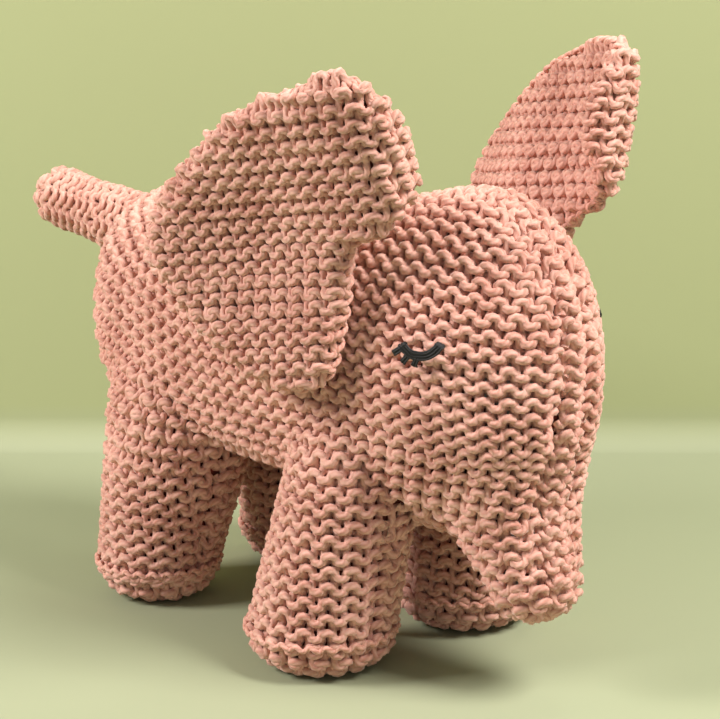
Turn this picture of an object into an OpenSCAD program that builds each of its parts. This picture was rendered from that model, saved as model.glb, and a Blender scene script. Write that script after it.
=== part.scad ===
// Stuffed elephant, hand-knitted in garter stitch: two side panels, a narrow top gusset and a belly
// gusset sewn over a lined bag of stuffing, with a trunk, two double ears and a tail that flex.
// It stands on z = 0, faces -Y and has its left side at +X.

/* [Body] */
// Full width across the flanks
body_w = 102; // [88:1:120]
// Height of the back above the ground
back_z = 150; // [138:1:162]
// Height of the belly above the ground
belly_z = 56; // [48:1:64]
// Middle of the feet to the rump
rump_reach = 91; // [84:1:106]

/* [Head] */
// Full width across the cheeks
head_w = 80; // [70:1:96]
// Height of the crown above the ground
crown_z = 163; // [154:1:178]
// Middle of the feet to the forehead
face_reach = 133; // [127:1:143]
// Height of the chin above the ground
chin_z = 48; // [42:1:54]

/* [Legs] */
// Front feet to hind feet, middle to middle
wheelbase = 93.8; // [84:0.2:100]
// Left feet to right feet, middle to middle
track = 66.4; // [60:0.2:76]
// Diameter of a front foot
front_foot_d = 51; // [42:1:58]
// Diameter of a hind foot
hind_foot_d = 45; // [38:1:52]
// Diameter of a front leg where it meets the belly
front_shank_d = 46; // [40:1:52]
// Diameter of a hind leg where it meets the belly
hind_shank_d = 55; // [46:1:60]
// Height of the seam round each sole
sole_h = 13; // [10:1:18]

/* [Trunk] */
// Diameter of the ball that the trunk turns on
ball_d = 54; // [46:1:60]
// Height of the trunk's pivot
trunk_pivot_z = 77; // [70:1:84]
// Diameter of the closed tip
tip_d = 31; // [26:1:36]
// How far the tip hangs below the pivot
trunk_drop = 36; // [30:1:41]

/* [Ears] */
// Length from the sewn edge to the outer edge
ear_span = 84; // [68:1:98]
// Height of the ear, lower edge to upper edge
ear_tall = 113; // [94:1:126]
// Angle by which the ears are swept back
ear_sweep = 70; // [62:1:74]
// Thickness of an ear, both layers and the padding
ear_t = 10; // [8:0.5:13]

/* [Tail] */
// Diameter of the tail
tail_d = 22; // [18:0.5:26]
// Length from the rump to the tip
tail_len = 80; // [64:1:96]

/* [Knitting] */
// Thickness of the knitted fabric
knit_t = 5; // [4:0.5:6]
// Thickness of the lining bag
liner_t = 0.8; // [0.6:0.1:1.2]
// Diameter of the yarn that closes the seams
seam_yarn_d = 2.6; // [2:0.1:3.4]
// Width of the gusset over the head and back
gusset_w = 18; // [14:1:24]

/* [Hidden] */
// Clearances: between sewn pieces of one body, and between pieces that move on each other
sew_gap = 0.1;
move_gap = 0.5;
around = 24;              // points round each soft section
room_fn = 28;
foot_round = 12;          // rounding where a sole turns up
arc_fn = 64;

front_r = front_foot_d / 2;
hind_r = hind_foot_d / 2;
half = wheelbase / 2;
body_a = body_w / 2;
head_a = head_w / 2;
mid_z = (back_z + belly_z) / 2;

ball_r = ball_d / 2;
ball_reach = face_reach - 10 - ball_r;
trunk_out = 18;

tip_r = tip_d / 2;
hinge_out = 2.5;           // hinge line of an ear, out from the cheek
hinge_top = [head_a + 1, 84, 146];
hinge_low = [head_a + 5, 71.5, 105];
ear_turn = ear_sweep - 0.6 * max(0, body_a - head_a - 11);   // a broad barrel holds the ears further out

tail_r = tail_d / 2;
tail_root_z = 124;
tail_rise = 6;
tail_end_r = tail_r * 0.94;
tail_axis_len = tail_len - 3 - tail_r;
tail_ring_d = 2.2;
tail_ring_in = 6;           // the seam lies this far into the rump from the pivot
tail_seat = tail_r + tail_ring_d + 2 * move_gap + 0.6;

// Middle of the whole length, forehead to tail tip
origin_y = (rump_reach + 3 + tail_axis_len * cos(tail_rise) + tail_end_r - face_reach) / 2;

// Colour of a node, which is also moved so that the whole toy stands middle over the origin
module dyed(c) { color(c) translate([0, -origin_y, 0]) children(); }

// ---- sections and lofts -------------------------------------------------------------------------

function sgn_pow(v, p) = sign(v) * pow(abs(v), p);

// Ring of a soft section: centre [x, reach, z], half width, half height, squareness
function ring(reach, z_lo, z_hi, a, n) =
  [for (k = [0 : around - 1]) let (t = 360 * k / around)
    [a * sgn_pow(cos(t), 2 / n), -reach, (z_lo + z_hi) / 2 + (z_hi - z_lo) / 2 * sgn_pow(sin(t), 2 / n)]];

// Closed mesh over a list of rings that all have the same number of points
module loft(rings) {
  m = len(rings[0]);
  last = len(rings) - 1;
  pts = [for (r = rings) for (p = r) p];
  walls = [for (i = [0 : last - 1]) for (k = [0 : m - 1]) let (q = (k + 1) % m)
    each [[i * m + k, (i + 1) * m + q, i * m + q], [i * m + k, (i + 1) * m + k, (i + 1) * m + q]]];
  caps = [[for (k = [0 : m - 1]) k], [for (k = [m - 1 : -1 : 0]) last * m + k]];
  polyhedron(pts, concat(walls, caps));
}

// Barrel and head in one: [reach, low, high, half width, squareness], rump to forehead
barrel = [
  [-rump_reach, mid_z + 2, mid_z + 12, 5, 2],
  [2 - rump_reach, mid_z - 17, mid_z + 25, body_a * 0.38, 2.1],
  [7 - rump_reach, belly_z + 16, back_z - 13, body_a * 0.62, 2.2],
  [16 - rump_reach, belly_z + 6, back_z - 6, body_a * 0.8, 2.4],
  [32 - rump_reach, belly_z + 1, back_z - 1, body_a * 0.93, 2.5],
  [0, belly_z, back_z, body_a * 0.98, 2.6],
  [0.3 * face_reach, belly_z - 2, back_z + 0.3 * (crown_z - back_z), body_a * 0.93, 2.5],
  [0.48 * face_reach, chin_z + 2, crown_z - 5, head_a + 3, 2.3],
  [0.6 * face_reach, chin_z, crown_z - 1, head_a + 0.5, 2.2],
  [0.7 * face_reach, chin_z + 1, crown_z, head_a - 2, 2.1],
  [0.79 * face_reach, chin_z + 6, crown_z - 4, head_a - 6, 2],
  [0.87 * face_reach, chin_z + 13, crown_z - 11, head_a - 13, 2],
  [0.935 * face_reach, chin_z + 22, crown_z - 21, head_a - 20, 2],
  [0.98 * face_reach, chin_z + 38, crown_z - 31, head_a - 29, 2],
  [face_reach, chin_z + 62, crown_z - 43, 4, 2]
];
barrel_mid = [0, (face_reach - rump_reach) / 2, mid_z + 4];
barrel_half = [body_a, (face_reach + rump_reach) / 2, (back_z - belly_z) / 2];

// Barrel drawn in from every side by the distance inset
module barrel_form(inset) {
  s = [for (k = [0 : 2]) 1 - inset / barrel_half[k]];
  c = [0, -barrel_mid[1], barrel_mid[2]];
  loft([for (b = barrel) [for (p = ring(b[0], b[1], b[2], b[3], b[4]))
    [c[0] + (p[0] - c[0]) * s[0], c[1] + (p[1] - c[1]) * s[1], c[2] + (p[2] - c[2]) * s[2]]]]);
}

// Radius of a leg at height z: a foot that turns under, then a shank that swells by grow per millimetre
function leg_r(z, r, grow, inset) = let (c = foot_round - inset, up = z - inset)
  (up < c ? r - inset - c + sqrt(max(0, c * c - (c - up) * (c - up))) : r - inset)
  + max(0, z - sole_h) * grow - pow(max(0, z - 58) / 38, 2) * 12;

leg_top = 96;
leg_rise = 50;               // from a sole's seam up to the belly
leg_lean = [-0.09, 0.19];    // how the legs run inward and forward as they rise

module leg_form(side, reach, r, grow, inset, from) {
  foot = [for (z = [inset, inset + 2, inset + 5, foot_round, sole_h]) if (z > from + 0.5) z];
  steps = concat([from], foot, [sole_h + 10, sole_h + 27, sole_h + 45, sole_h + 58, sole_h + 70, leg_top]);
  loft([for (z = steps) let (u = min(leg_rise, max(0, z - sole_h)), rr = leg_r(z, r, grow, inset))
    [for (k = [0 : around - 1]) let (t = 360 * k / around)
      [side * (track / 2 + leg_lean[0] * u) + rr * cos(t), -(reach + leg_lean[1] * u) + rr * sin(t), z]]]);
}

module all_legs(inset, from) {
  for (side = [-1, 1]) {
    leg_form(side, half, front_r, (front_shank_d / 2 - front_r) / leg_rise, inset, from);
    leg_form(side, -half, hind_r, (hind_shank_d / 2 - hind_r) / leg_rise, inset, from);
  }
}

module body_form(inset, from = 0) {
  union() {
    barrel_form(inset);
    all_legs(inset, from);
  }
}

// ---- room kept free for the moving pieces -------------------------------------------------------

module at_ball() {
  translate([0, -ball_reach, trunk_pivot_z]) children();
}

room_r = 60;

// Fan in front of and under the ball, swept by the trunk
module trunk_room() {
  at_ball() {
    sphere(r = ball_r + move_gap, $fn = room_fn);
    rotate([90, 0, 90]) linear_extrude(height = 4 * head_a, center = true)
      polygon(concat([[0, 0]], [for (t = [160 : 12.5 : 285]) room_r * [cos(t), sin(t)]],
        [0.84 * room_r * [cos(295), sin(295)], 0.63 * room_r * [cos(307), sin(307)],
          0.5 * room_r * [cos(320), sin(320)]]));
  }
}

module at_tail() {
  translate([0, rump_reach + 3, tail_root_z]) children();
}

module tail_room() {
  at_tail() sphere(r = tail_seat, $fn = room_fn);
}

module free_rooms() {
  trunk_room();
  tail_room();
}

// ---- knitted panels of the body -----------------------------------------------------------------

module knit_shell() {
  difference() {
    body_form(0, sole_h + seam_yarn_d / 2);
    body_form(knit_t, knit_t);
    free_rooms();
  }
}

// Band down the middle, over the face, the crown and the back
module top_zone(grow) {
  w = gusset_w / 2 + grow;
  translate([-w, -200, 60]) cube([2 * w, 400, 140]);
}

// Underside with the inner half of each leg, narrowing up to the tail behind
module belly_zone(grow) {
  w = track / 2 + grow;
  n = gusset_w / 2 + grow;
  front = half + front_r + 5.6 + grow;    // just ahead of the front legs
  translate([-w, 18 - ball_reach - grow, 0]) cube([2 * w, 300, 92 + grow]);
  translate([-w, -front - 14, 0]) cube([2 * w, 60, 66 + grow]);
  translate([-n, 60, 50]) cube([2 * n, 100, tail_root_z + grow - 50]);
}

module side_panel(side) {
  intersection() {
    difference() {
      knit_shell();
      top_zone(sew_gap / 2);
      belly_zone(sew_gap / 2);
    }
    translate([side > 0 ? 0 : -120, -200, 0]) cube([120, 400, 200]);
  }
}

module side_panel_right() { dyed("#cf9a86") side_panel(-1); }
module side_panel_left() { dyed("#cf9a86") side_panel(1); }

module top_gusset() {
  dyed("#d6a28e") difference() {
    intersection() {
      knit_shell();
      top_zone(-sew_gap / 2);
    }
    belly_zone(sew_gap / 2);
  }
}

module belly_gusset() {
  dyed("#c9907c") intersection() {
    knit_shell();
    belly_zone(-sew_gap / 2);
  }
}

// ---- soles --------------------------------------------------------------------------------------

// Half outline of a foot drawn in by the distance inset, from its middle up to the height top
function foot_outline(r, inset, top) = let (c = foot_round - inset)
  concat([[0, inset]], [for (t = [0 : 10 : 90]) [r - inset - c + c * sin(t), inset + c - c * cos(t)]],
    [[r - inset, top], [0, top]]);

module sole(x, reach, r) {
  translate([x, -reach, 0]) rotate_extrude($fn = arc_fn) difference() {
    polygon(foot_outline(r, 0, sole_h - seam_yarn_d / 2));
    polygon(foot_outline(r, knit_t, sole_h + 5));
  }
}

module sole_yarn(x, reach, r) {
  translate([x, -reach, sole_h]) rotate_extrude($fn = arc_fn)
    translate([r - seam_yarn_d / 2 + 0.6, 0]) circle(d = seam_yarn_d - 2 * sew_gap, $fn = 24);
}

module sole_front_right() { dyed("#c48a78") sole(-track / 2, half, front_r); }
module sole_front_left() { dyed("#c48a78") sole(track / 2, half, front_r); }
module sole_hind_right() { dyed("#c48a78") sole(-track / 2, -half, hind_r); }
module sole_hind_left() { dyed("#c48a78") sole(track / 2, -half, hind_r); }
module sole_yarn_front_right() { dyed("#e0b3a2") sole_yarn(-track / 2, half, front_r); }
module sole_yarn_front_left() { dyed("#e0b3a2") sole_yarn(track / 2, half, front_r); }
module sole_yarn_hind_right() { dyed("#e0b3a2") sole_yarn(-track / 2, -half, hind_r); }
module sole_yarn_hind_left() { dyed("#e0b3a2") sole_yarn(track / 2, -half, hind_r); }

// ---- lining and stuffing ------------------------------------------------------------------------

bag_in = knit_t + sew_gap + liner_t;

module lining_bag() {
  dyed("#8c4a3f") difference() {
    body_form(knit_t + sew_gap, knit_t + sew_gap);
    body_form(bag_in, bag_in);
    free_rooms();
  }
}

module body_stuffing() {
  dyed("#f2eee6") difference() {
    body_form(bag_in + sew_gap, bag_in + sew_gap);
    free_rooms();
  }
}

// ---- embroidered eyes ---------------------------------------------------------------------------

eye_at = [head_a - 5.2, 0.782 * face_reach, 117.5];
floss_d = 2;

// Points of the lid on the cheek, front to rear, as [toward the face, up] from the middle of the eye
lid = [[7, 2.4], [4.2, -0.4], [0.8, -1.6], [-2.6, -1.2], [-5.6, 0.8]];
lashes = [[[-6.2, -0.3], [-9.2, -2.2]], [[-3.6, -2.3], [-5.9, -4.6]], [[-0.4, -2.9], [-1.8, -5.4]]];
eye_turn = 30;

// Place on the cheek at p, raised by the distance out
function on_cheek(side, p, out) =
  [side * (eye_at[0] - p[0] * sin(eye_turn) + out * cos(eye_turn)),
    -(eye_at[1] + p[0] * cos(eye_turn) + out * sin(eye_turn)), eye_at[2] + p[1]];

// One stitch of floss along a path on the cheek
module floss(side, path) {
  last = len(path) - 1;
  r = floss_d / 2;
  loft([for (k = [0 : last]) let (a = path[max(0, k - 1)], b = path[min(last, k + 1)],
      d = (b - a) / norm(b - a), n = [-d[1], d[0]])
    [for (t = [0 : 45 : 315]) on_cheek(side, path[k] + n * r * cos(t), -r * sin(t) * side)]]);
}

module eye_floss(side) {
  dyed("#16130f") {
    floss(side, lid);
    for (s = lashes) floss(side, s);
  }
}

module eye_right() { eye_floss(-1); }
module eye_left() { eye_floss(1); }

// ---- trunk --------------------------------------------------------------------------------------

trunk_dir = [0, -trunk_out, -trunk_drop] / norm([trunk_out, trunk_drop]);
trunk_len = norm([trunk_out, trunk_drop]);
trunk_tilt = atan2(trunk_out, trunk_drop);

// Trunk hanging along its own axis from the pivot: a ball, a neck and a closed round tip
module trunk_form(inset) {
  at_ball() rotate([180 - trunk_tilt, 0, 0]) {
    sphere(r = ball_r - inset, $fn = arc_fn);
    rotate_extrude($fn = arc_fn) polygon(concat(
      [[0, 0], [ball_r * 0.86 - inset, 0], [ball_r * 0.86 - inset, ball_r * 0.5],
        [tip_r * 1.32 - inset, trunk_len * 0.62], [tip_r * 1.08 - inset, trunk_len * 0.86]],
      [for (t = [0 : 10 : 90]) [(tip_r - inset) * cos(t), trunk_len + (tip_r - inset) * sin(t)]]));
  }
}

// Space beyond the seam that closes the tip
module beyond_tip(shift) {
  at_ball() rotate([180 - trunk_tilt, 0, 0]) translate([0, 0, trunk_len + tip_r * 0.35 + shift])
    cylinder(h = 40, r = 40);
}

module trunk_shell() {
  difference() {
    trunk_form(0);
    trunk_form(knit_t);
  }
}

module trunk_skin() {
  dyed("#cf9a86") difference() {
    trunk_shell();
    beyond_tip(-sew_gap / 2);
  }
}

module trunk_tip_cap() {
  dyed("#c48a78") intersection() {
    trunk_shell();
    beyond_tip(sew_gap / 2);
  }
}

module trunk_stuffing() { dyed("#f2eee6") trunk_form(knit_t + sew_gap); }

// ---- ears ---------------------------------------------------------------------------------------

// Outline of an ear: [part of the span out from the sewn edge, part of the height up from its middle]
ear_outline = [
  [1, 0.18], [0.94, 0.29], [0.81, 0.39], [0.64, 0.495], [0.43, 0.6], [0.28, 0.645], [0.13, 0.68],
  [0.02, 0.71], [-0.1, 0.725], [-0.2, 0.7], [-0.25, 0.61], [-0.29, 0.52], [-0.27, 0.45], [-0.22, 0.36],
  [-0.12, 0.25], [0, 0.19], [0, 0], [0, -0.17], [0.05, -0.24], [0.19, -0.264],
  [0.39, -0.235], [0.55, -0.195], [0.69, -0.11], [0.85, 0], [0.96, 0.1]
];
ear_mid = [0.4, 0.2];
ear_rings = 5;
ear_lean = 0.36;
hinge_mid = (hinge_top + hinge_low) / 2;
hinge_h = (hinge_top[2] - hinge_low[2]) / 2;
hinge_slope = (hinge_top - hinge_low) / (2 * hinge_h);

// Point of an ear's face: s out along the ear, h up from the hinge's middle, w through its thickness.
// The upper half leans forward and out
function ear_point(side, s, h, w) =
  let (c = cos(ear_turn), d = sin(ear_turn), up = h - hinge_h, k = max(-hinge_h, min(hinge_h, h)),
    q = ear_lean * (up + sqrt(up * up + 200)) / 2 + w)
  [side * (hinge_mid[0] + hinge_out + k * hinge_slope[0] + s * c + q * d),
    -(hinge_mid[1] + k * hinge_slope[1] - s * d + q * c), hinge_mid[2] + h];

// Half thickness at the part f of the way from the middle to the edge, thin along the sewn edge
function ear_half(f, s) = (ear_t / 2) * sqrt(max(0, 1 - pow(f, 4) * 0.94)) * min(1, 0.42 + max(0, s) / 14);

// One layer of an ear between the parts lo and hi of its half thickness
module ear_layer(side, lo, hi, reach) {
  m = len(ear_outline);
  function spot(r, k) = let (f = reach * r / ear_rings, o = ear_outline[k])
    [ear_span * (ear_mid[0] + f * (o[0] - ear_mid[0])), ear_tall * (ear_mid[1] + f * (o[1] - ear_mid[1])), f];
  function face(level) = [for (r = [1 : ear_rings]) for (k = [0 : m - 1]) let (p = spot(r, k))
    ear_point(side, p[0], p[1], level * ear_half(p[2], p[0]))];
  hub = [ear_span * ear_mid[0], ear_tall * ear_mid[1]];
  n = ear_rings * m;
  pts = concat(face(hi), face(lo), [ear_point(side, hub[0], hub[1], hi * ear_t / 2),
    ear_point(side, hub[0], hub[1], lo * ear_t / 2)]);
  fan = [for (k = [0 : m - 1]) let (q = (k + 1) % m) each [[2 * n, k, q], [2 * n + 1, n + q, n + k]]];
  web = [for (r = [0 : ear_rings - 2]) for (k = [0 : m - 1]) let (q = (k + 1) % m, i = r * m, j = i + m)
    each [[i + k, j + k, j + q], [i + k, j + q, i + q], [n + i + k, n + j + q, n + j + k],
      [n + i + k, n + i + q, n + j + q]]];
  e = n - m;
  rim = [for (k = [0 : m - 1]) let (q = (k + 1) % m)
    each [[e + k, n + e + k, n + e + q], [e + k, n + e + q, e + q]]];
  faces = concat(fan, web, rim);
  polyhedron(pts, side < 0 ? faces : [for (f = faces) [f[2], f[1], f[0]]]);
}

pad_part = 0.12;
rim_part = 0.985;

module ear_front(side) { dyed("#d6a28e") ear_layer(side, pad_part + 0.02, 1, rim_part); }
module ear_back(side) { dyed("#c9907c") ear_layer(side, -1, -pad_part - 0.02, rim_part); }
module ear_pad(side) { dyed("#f2eee6") ear_layer(side, -pad_part, pad_part, rim_part); }

// Yarn sewn along the rim, as a six-sided cord
module ear_edge(side) {
  m = len(ear_outline);
  r = seam_yarn_d / 2;
  rings = [for (k = [0 : m]) let (o = ear_outline[k % m],
      out = [o[0] - ear_mid[0], o[1] - ear_mid[1]], u = out / norm(out))
    [for (j = [0 : 5]) ear_point(side, ear_span * o[0] + (r * cos(60 * j) + r * 0.6) * u[0],
      ear_tall * o[1] + (r * cos(60 * j) + r * 0.6) * u[1], r * sin(60 * j))]];
  pts = [for (k = [0 : m - 1]) for (p = rings[k]) p];
  faces = [for (k = [0 : m - 1]) for (j = [0 : 5]) let (a = k * 6, b = ((k + 1) % m) * 6, i = (j + 1) % 6)
    each [[a + j, b + j, b + i], [a + j, b + i, a + i]]];
  dyed("#e0b3a2") polyhedron(pts, side < 0 ? faces : [for (f = faces) [f[2], f[1], f[0]]]);
}

module ear_right_front_panel() { ear_front(-1); }
module ear_right_back_panel() { ear_back(-1); }
module ear_right_padding() { ear_pad(-1); }
module ear_right_edge_yarn() { ear_edge(-1); }
module ear_left_front_panel() { ear_front(1); }
module ear_left_back_panel() { ear_back(1); }
module ear_left_padding() { ear_pad(1); }
module ear_left_edge_yarn() { ear_edge(1); }

// ---- tail ---------------------------------------------------------------------------------------

// Tail along its own axis from the pivot: round at both ends
module tail_form(inset) {
  at_tail() rotate([-90 + tail_rise, 0, 0]) rotate_extrude($fn = arc_fn) polygon(concat(
    [for (t = [-90 : 10 : 0]) (tail_r - inset) * [cos(t), sin(t)]],
    [for (t = [0 : 10 : 90]) [0, tail_axis_len] + (tail_end_r - inset) * [cos(t), sin(t)]]));
}

module tail_skin() {
  dyed("#cf9a86") difference() {
    tail_form(0);
    tail_form(knit_t);
  }
}

module tail_stuffing() { dyed("#f2eee6") tail_form(knit_t + sew_gap); }

module tail_seam_yarn() {
  out = tail_r + move_gap + tail_ring_d / 2;
  dyed("#e0b3a2") at_tail() translate([0, -tail_ring_in, 0]) rotate([90, 0, 0])
    rotate_extrude($fn = arc_fn)
      translate([sqrt(out * out - tail_ring_in * tail_ring_in), 0]) circle(d = tail_ring_d, $fn = 24);
}

side_panel_right();
side_panel_left();
top_gusset();
belly_gusset();
sole_front_right();
sole_front_left();
sole_hind_right();
sole_hind_left();
sole_yarn_front_right();
sole_yarn_front_left();
sole_yarn_hind_right();
sole_yarn_hind_left();
lining_bag();
body_stuffing();
eye_right();
eye_left();
trunk_skin();
trunk_tip_cap();
trunk_stuffing();
ear_right_front_panel();
ear_right_back_panel();
ear_right_padding();
ear_right_edge_yarn();
ear_left_front_panel();
ear_left_back_panel();
ear_left_padding();
ear_left_edge_yarn();
tail_seam_yarn();
tail_skin();
tail_stuffing();
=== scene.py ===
"""Looks of the hand-knitted stuffed elephant: yarn, seams, embroidered eyes, lining, stage, lights and camera.

Every knitted panel is made of real yarn: one tube per knitted row, bent into interlocking loops that lie on a
soft stuffed form. Lengths inside the module are millimetres in the toy's own frame, where x is its left side,
reach runs from the rump toward the face and z is up; they are turned into metres of the row frame on the way out.
"""

import logging
import math
from dataclasses import dataclass, field
from enum import Enum

import bpy
import numpy as np
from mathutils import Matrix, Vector


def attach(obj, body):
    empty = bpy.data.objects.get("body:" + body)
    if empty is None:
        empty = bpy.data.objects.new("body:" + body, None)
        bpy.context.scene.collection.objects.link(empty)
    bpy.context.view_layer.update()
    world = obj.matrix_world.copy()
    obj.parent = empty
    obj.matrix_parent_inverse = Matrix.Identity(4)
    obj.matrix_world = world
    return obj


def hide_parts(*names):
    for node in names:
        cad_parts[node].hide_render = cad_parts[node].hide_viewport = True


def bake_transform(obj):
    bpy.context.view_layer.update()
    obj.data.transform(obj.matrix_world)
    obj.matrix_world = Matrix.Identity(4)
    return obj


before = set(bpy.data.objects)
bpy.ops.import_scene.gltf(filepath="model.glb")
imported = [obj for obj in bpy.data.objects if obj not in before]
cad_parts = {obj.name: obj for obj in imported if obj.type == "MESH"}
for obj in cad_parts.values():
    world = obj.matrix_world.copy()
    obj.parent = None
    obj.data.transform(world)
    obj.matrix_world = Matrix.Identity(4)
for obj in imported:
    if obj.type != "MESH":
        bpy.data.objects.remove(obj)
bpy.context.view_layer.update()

MM = 0.001
ORIGIN_REACH = 18.489
TAIL_PIVOT = np.array([0.0, -94.0, 124.0])
TAIL_ROOM = 14.6
LEFT_EYE = (39.4, 97.6, 117.8)
FLEX_FROM = (0.0, 97.0, 80.0)
FLEX_TO = (0.0, 111.0, 60.0)
log = logging.getLogger("elephant")


class Side(Enum):
    """Side of the toy, with the sign of x on it."""

    RIGHT = -1
    LEFT = 1


class Zone(Enum):
    """Knitted panel that a spot of the body belongs to."""

    SIDE_RIGHT = 0
    SIDE_LEFT = 1
    TOP = 2
    BELLY = 3
    UNDER = 4
    TIP = 5
    SOLE = 6
    TAIL_SEAT = 7


# ---- geometry helpers -----------------------------------------------------------------------------


def to_frame(points: np.ndarray) -> np.ndarray:
    """Turns millimetres of the toy's frame (x, reach, z) into metres of the row frame.

    Args:
        points: array of shape (n, 3).
    Returns:
        Array of the same shape.
    """
    out = np.empty_like(points, dtype=float)
    out[:, 0] = points[:, 0]
    out[:, 1] = -points[:, 1] - ORIGIN_REACH
    out[:, 2] = points[:, 2]
    return out * MM


def unit(v: np.ndarray) -> np.ndarray:
    """Rows of v at length 1."""
    return v / np.maximum(np.linalg.norm(v, axis=-1, keepdims=True), 1e-9)


def smoothstep(v: np.ndarray, low: float, high: float) -> np.ndarray:
    """Smooth rise from 0 at low to 1 at high."""
    t = np.clip((np.asarray(v, dtype=float) - low) / (high - low), 0.0, 1.0)
    return t * t * (3 - 2 * t)


def catmull(points: list, steps: int, closed: bool) -> np.ndarray:
    """Smooth curve through points.

    Args:
        points: rows of numbers of any width.
        steps: samples per span.
        closed: True for a loop.
    Returns:
        The sampled curve.
    """
    p = np.asarray(points, dtype=float)
    n = len(p)
    spans = n if closed else n - 1
    t = np.arange(steps)[:, None] / steps
    out = []
    for i in range(spans):
        if closed:
            a, b, c, d = p[(i - 1) % n], p[i], p[(i + 1) % n], p[(i + 2) % n]
        else:
            a, b, c, d = p[max(i - 1, 0)], p[i], p[i + 1], p[min(i + 2, n - 1)]
        out.append(0.5 * (2 * b + (c - a) * t + (2 * a - 5 * b + 4 * c - d) * t ** 2
                          + (3 * b - a - 3 * c + d) * t ** 3))
    if not closed:
        out.append(p[-1:])
    return np.concatenate(out)


def ring_loft(rings: np.ndarray) -> tuple:
    """Closed mesh over rings of equal size, the first and last ring filled.

    Args:
        rings: array (rings, points, 3), each ring running the same way.
    Returns:
        (vertices, faces)
    """
    count, m = rings.shape[:2]
    k = np.arange(m)
    q = (k + 1) % m
    faces = []
    for i in range(count - 1):
        faces += np.stack([i * m + k, i * m + q, (i + 1) * m + q, (i + 1) * m + k], axis=1).tolist()
    faces.append(list(range(m - 1, -1, -1)))
    faces.append([(count - 1) * m + int(i) for i in k])
    return rings.reshape(-1, 3), faces


def new_object(name: str, verts: np.ndarray, faces: list) -> bpy.types.Object:
    """Makes a mesh object from vertices in metres of the row frame, with its faces turned outward."""
    mesh = bpy.data.meshes.new(name)
    mesh.from_pydata([tuple(v) for v in verts], [], faces)
    mesh.update()
    obj = bpy.data.objects.new(name, mesh)
    bpy.context.scene.collection.objects.link(obj)
    select_only(obj)
    bpy.ops.object.mode_set(mode="EDIT")
    bpy.ops.mesh.select_all(action="SELECT")
    bpy.ops.mesh.normals_make_consistent(inside=False)
    bpy.ops.object.mode_set(mode="OBJECT")
    return obj


def select_only(*objs: bpy.types.Object) -> None:
    """Deselects everything, then selects objs, the first of them active."""
    bpy.ops.object.select_all(action="DESELECT")
    for o in objs:
        o.select_set(True)
    bpy.context.view_layer.objects.active = objs[0]


def apply_all(obj: bpy.types.Object) -> None:
    """Applies every modifier of obj in order."""
    select_only(obj)
    for m in list(obj.modifiers):
        bpy.ops.object.modifier_apply(modifier=m.name)


def melted(name: str, parts: list, voxel: float, passes: int) -> bpy.types.Object:
    """Joins closed parts into one soft closed form.

    Args:
        name: name of the new object.
        parts: objects in the row frame, used up.
        voxel: grid size of the remesh, in metres.
        passes: smoothing passes.
    Returns:
        The joined object.
    """
    select_only(*parts)
    if len(parts) > 1:
        bpy.ops.object.join()
    obj = parts[0]
    obj.name = name
    obj.data.name = name
    remesh = obj.modifiers.new("remesh", "REMESH")
    remesh.mode = "VOXEL"
    remesh.voxel_size = voxel
    smooth = obj.modifiers.new("smooth", "SMOOTH")
    smooth.factor = 0.5
    smooth.iterations = passes
    apply_all(obj)
    return obj


@dataclass
class Surface:
    """Triangle mesh in the toy's frame that rows of knitting are laid on."""

    verts: np.ndarray
    tris: np.ndarray
    normals: np.ndarray

    @classmethod
    def of_object(cls, obj: bpy.types.Object) -> "Surface":
        """Reads a closed mesh object."""
        mesh = obj.data
        mesh.calc_loop_triangles()
        co = np.empty(len(mesh.vertices) * 3)
        mesh.vertices.foreach_get("co", co)
        no = np.empty(len(mesh.vertices) * 3)
        mesh.vertex_normals.foreach_get("vector", no)
        tri = np.empty(len(mesh.loop_triangles) * 3, dtype=np.int32)
        mesh.loop_triangles.foreach_get("vertices", tri)
        co = co.reshape(-1, 3) / MM
        no = no.reshape(-1, 3)
        verts = np.stack([co[:, 0], -co[:, 1] - ORIGIN_REACH, co[:, 2]], axis=1)
        return cls(verts, tri.reshape(-1, 3), np.stack([no[:, 0], -no[:, 1], no[:, 2]], axis=1))

    def contours(self, values: np.ndarray, level: float) -> list:
        """Closed lines on which the per-vertex values are equal to level.

        Returns:
            List of (points, normals) arrays, not repeated at their ends.
        """
        above = values > level
        mark = above[self.tris]
        count = mark.sum(axis=1)
        cut = (count == 1) | (count == 2)
        tri, mark, one = self.tris[cut], mark[cut], count[cut] == 1
        if not len(tri):
            return []
        lone = np.where(one, mark.argmax(axis=1), (~mark).argmax(axis=1))
        rows = np.arange(len(tri))
        i0, i1, i2 = tri[rows, lone], tri[rows, (lone + 1) % 3], tri[rows, (lone + 2) % 3]
        size = len(self.verts)

        def key(a: np.ndarray, b: np.ndarray) -> np.ndarray:
            return np.minimum(a, b).astype(np.int64) * size + np.maximum(a, b)

        e1, e2 = key(i0, i1), key(i0, i2)
        start, end = np.where(one, e1, e2), np.where(one, e2, e1)
        step = dict(zip(start.tolist(), end.tolist()))
        loops = []
        while step:
            first, here = step.popitem()
            chain = [first]
            while here != first and here in step:
                chain.append(here)
                here = step.pop(here)
            if len(chain) > 5:
                keys = np.array(chain)
                a, b = keys // size, keys % size
                t = ((level - values[a]) / (values[b] - values[a] + 1e-12))[:, None]
                loops.append((self.verts[a] * (1 - t) + self.verts[b] * t,
                              unit(self.normals[a] * (1 - t) + self.normals[b] * t)))
        return loops


# ---- yarn -----------------------------------------------------------------------------------------


@dataclass(frozen=True)
class Gauge:
    """Size of the knitting, in millimetres."""

    stitch: float = 7.2
    row: float = 2.6
    height: float = 5.2
    sway: float = 0.75
    depth: float = 1.7
    radius: float = 1.42
    samples: int = 12
    sides: int = 6
    tuck: float = 2.4
    tuck_run: float = 4.0


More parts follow.
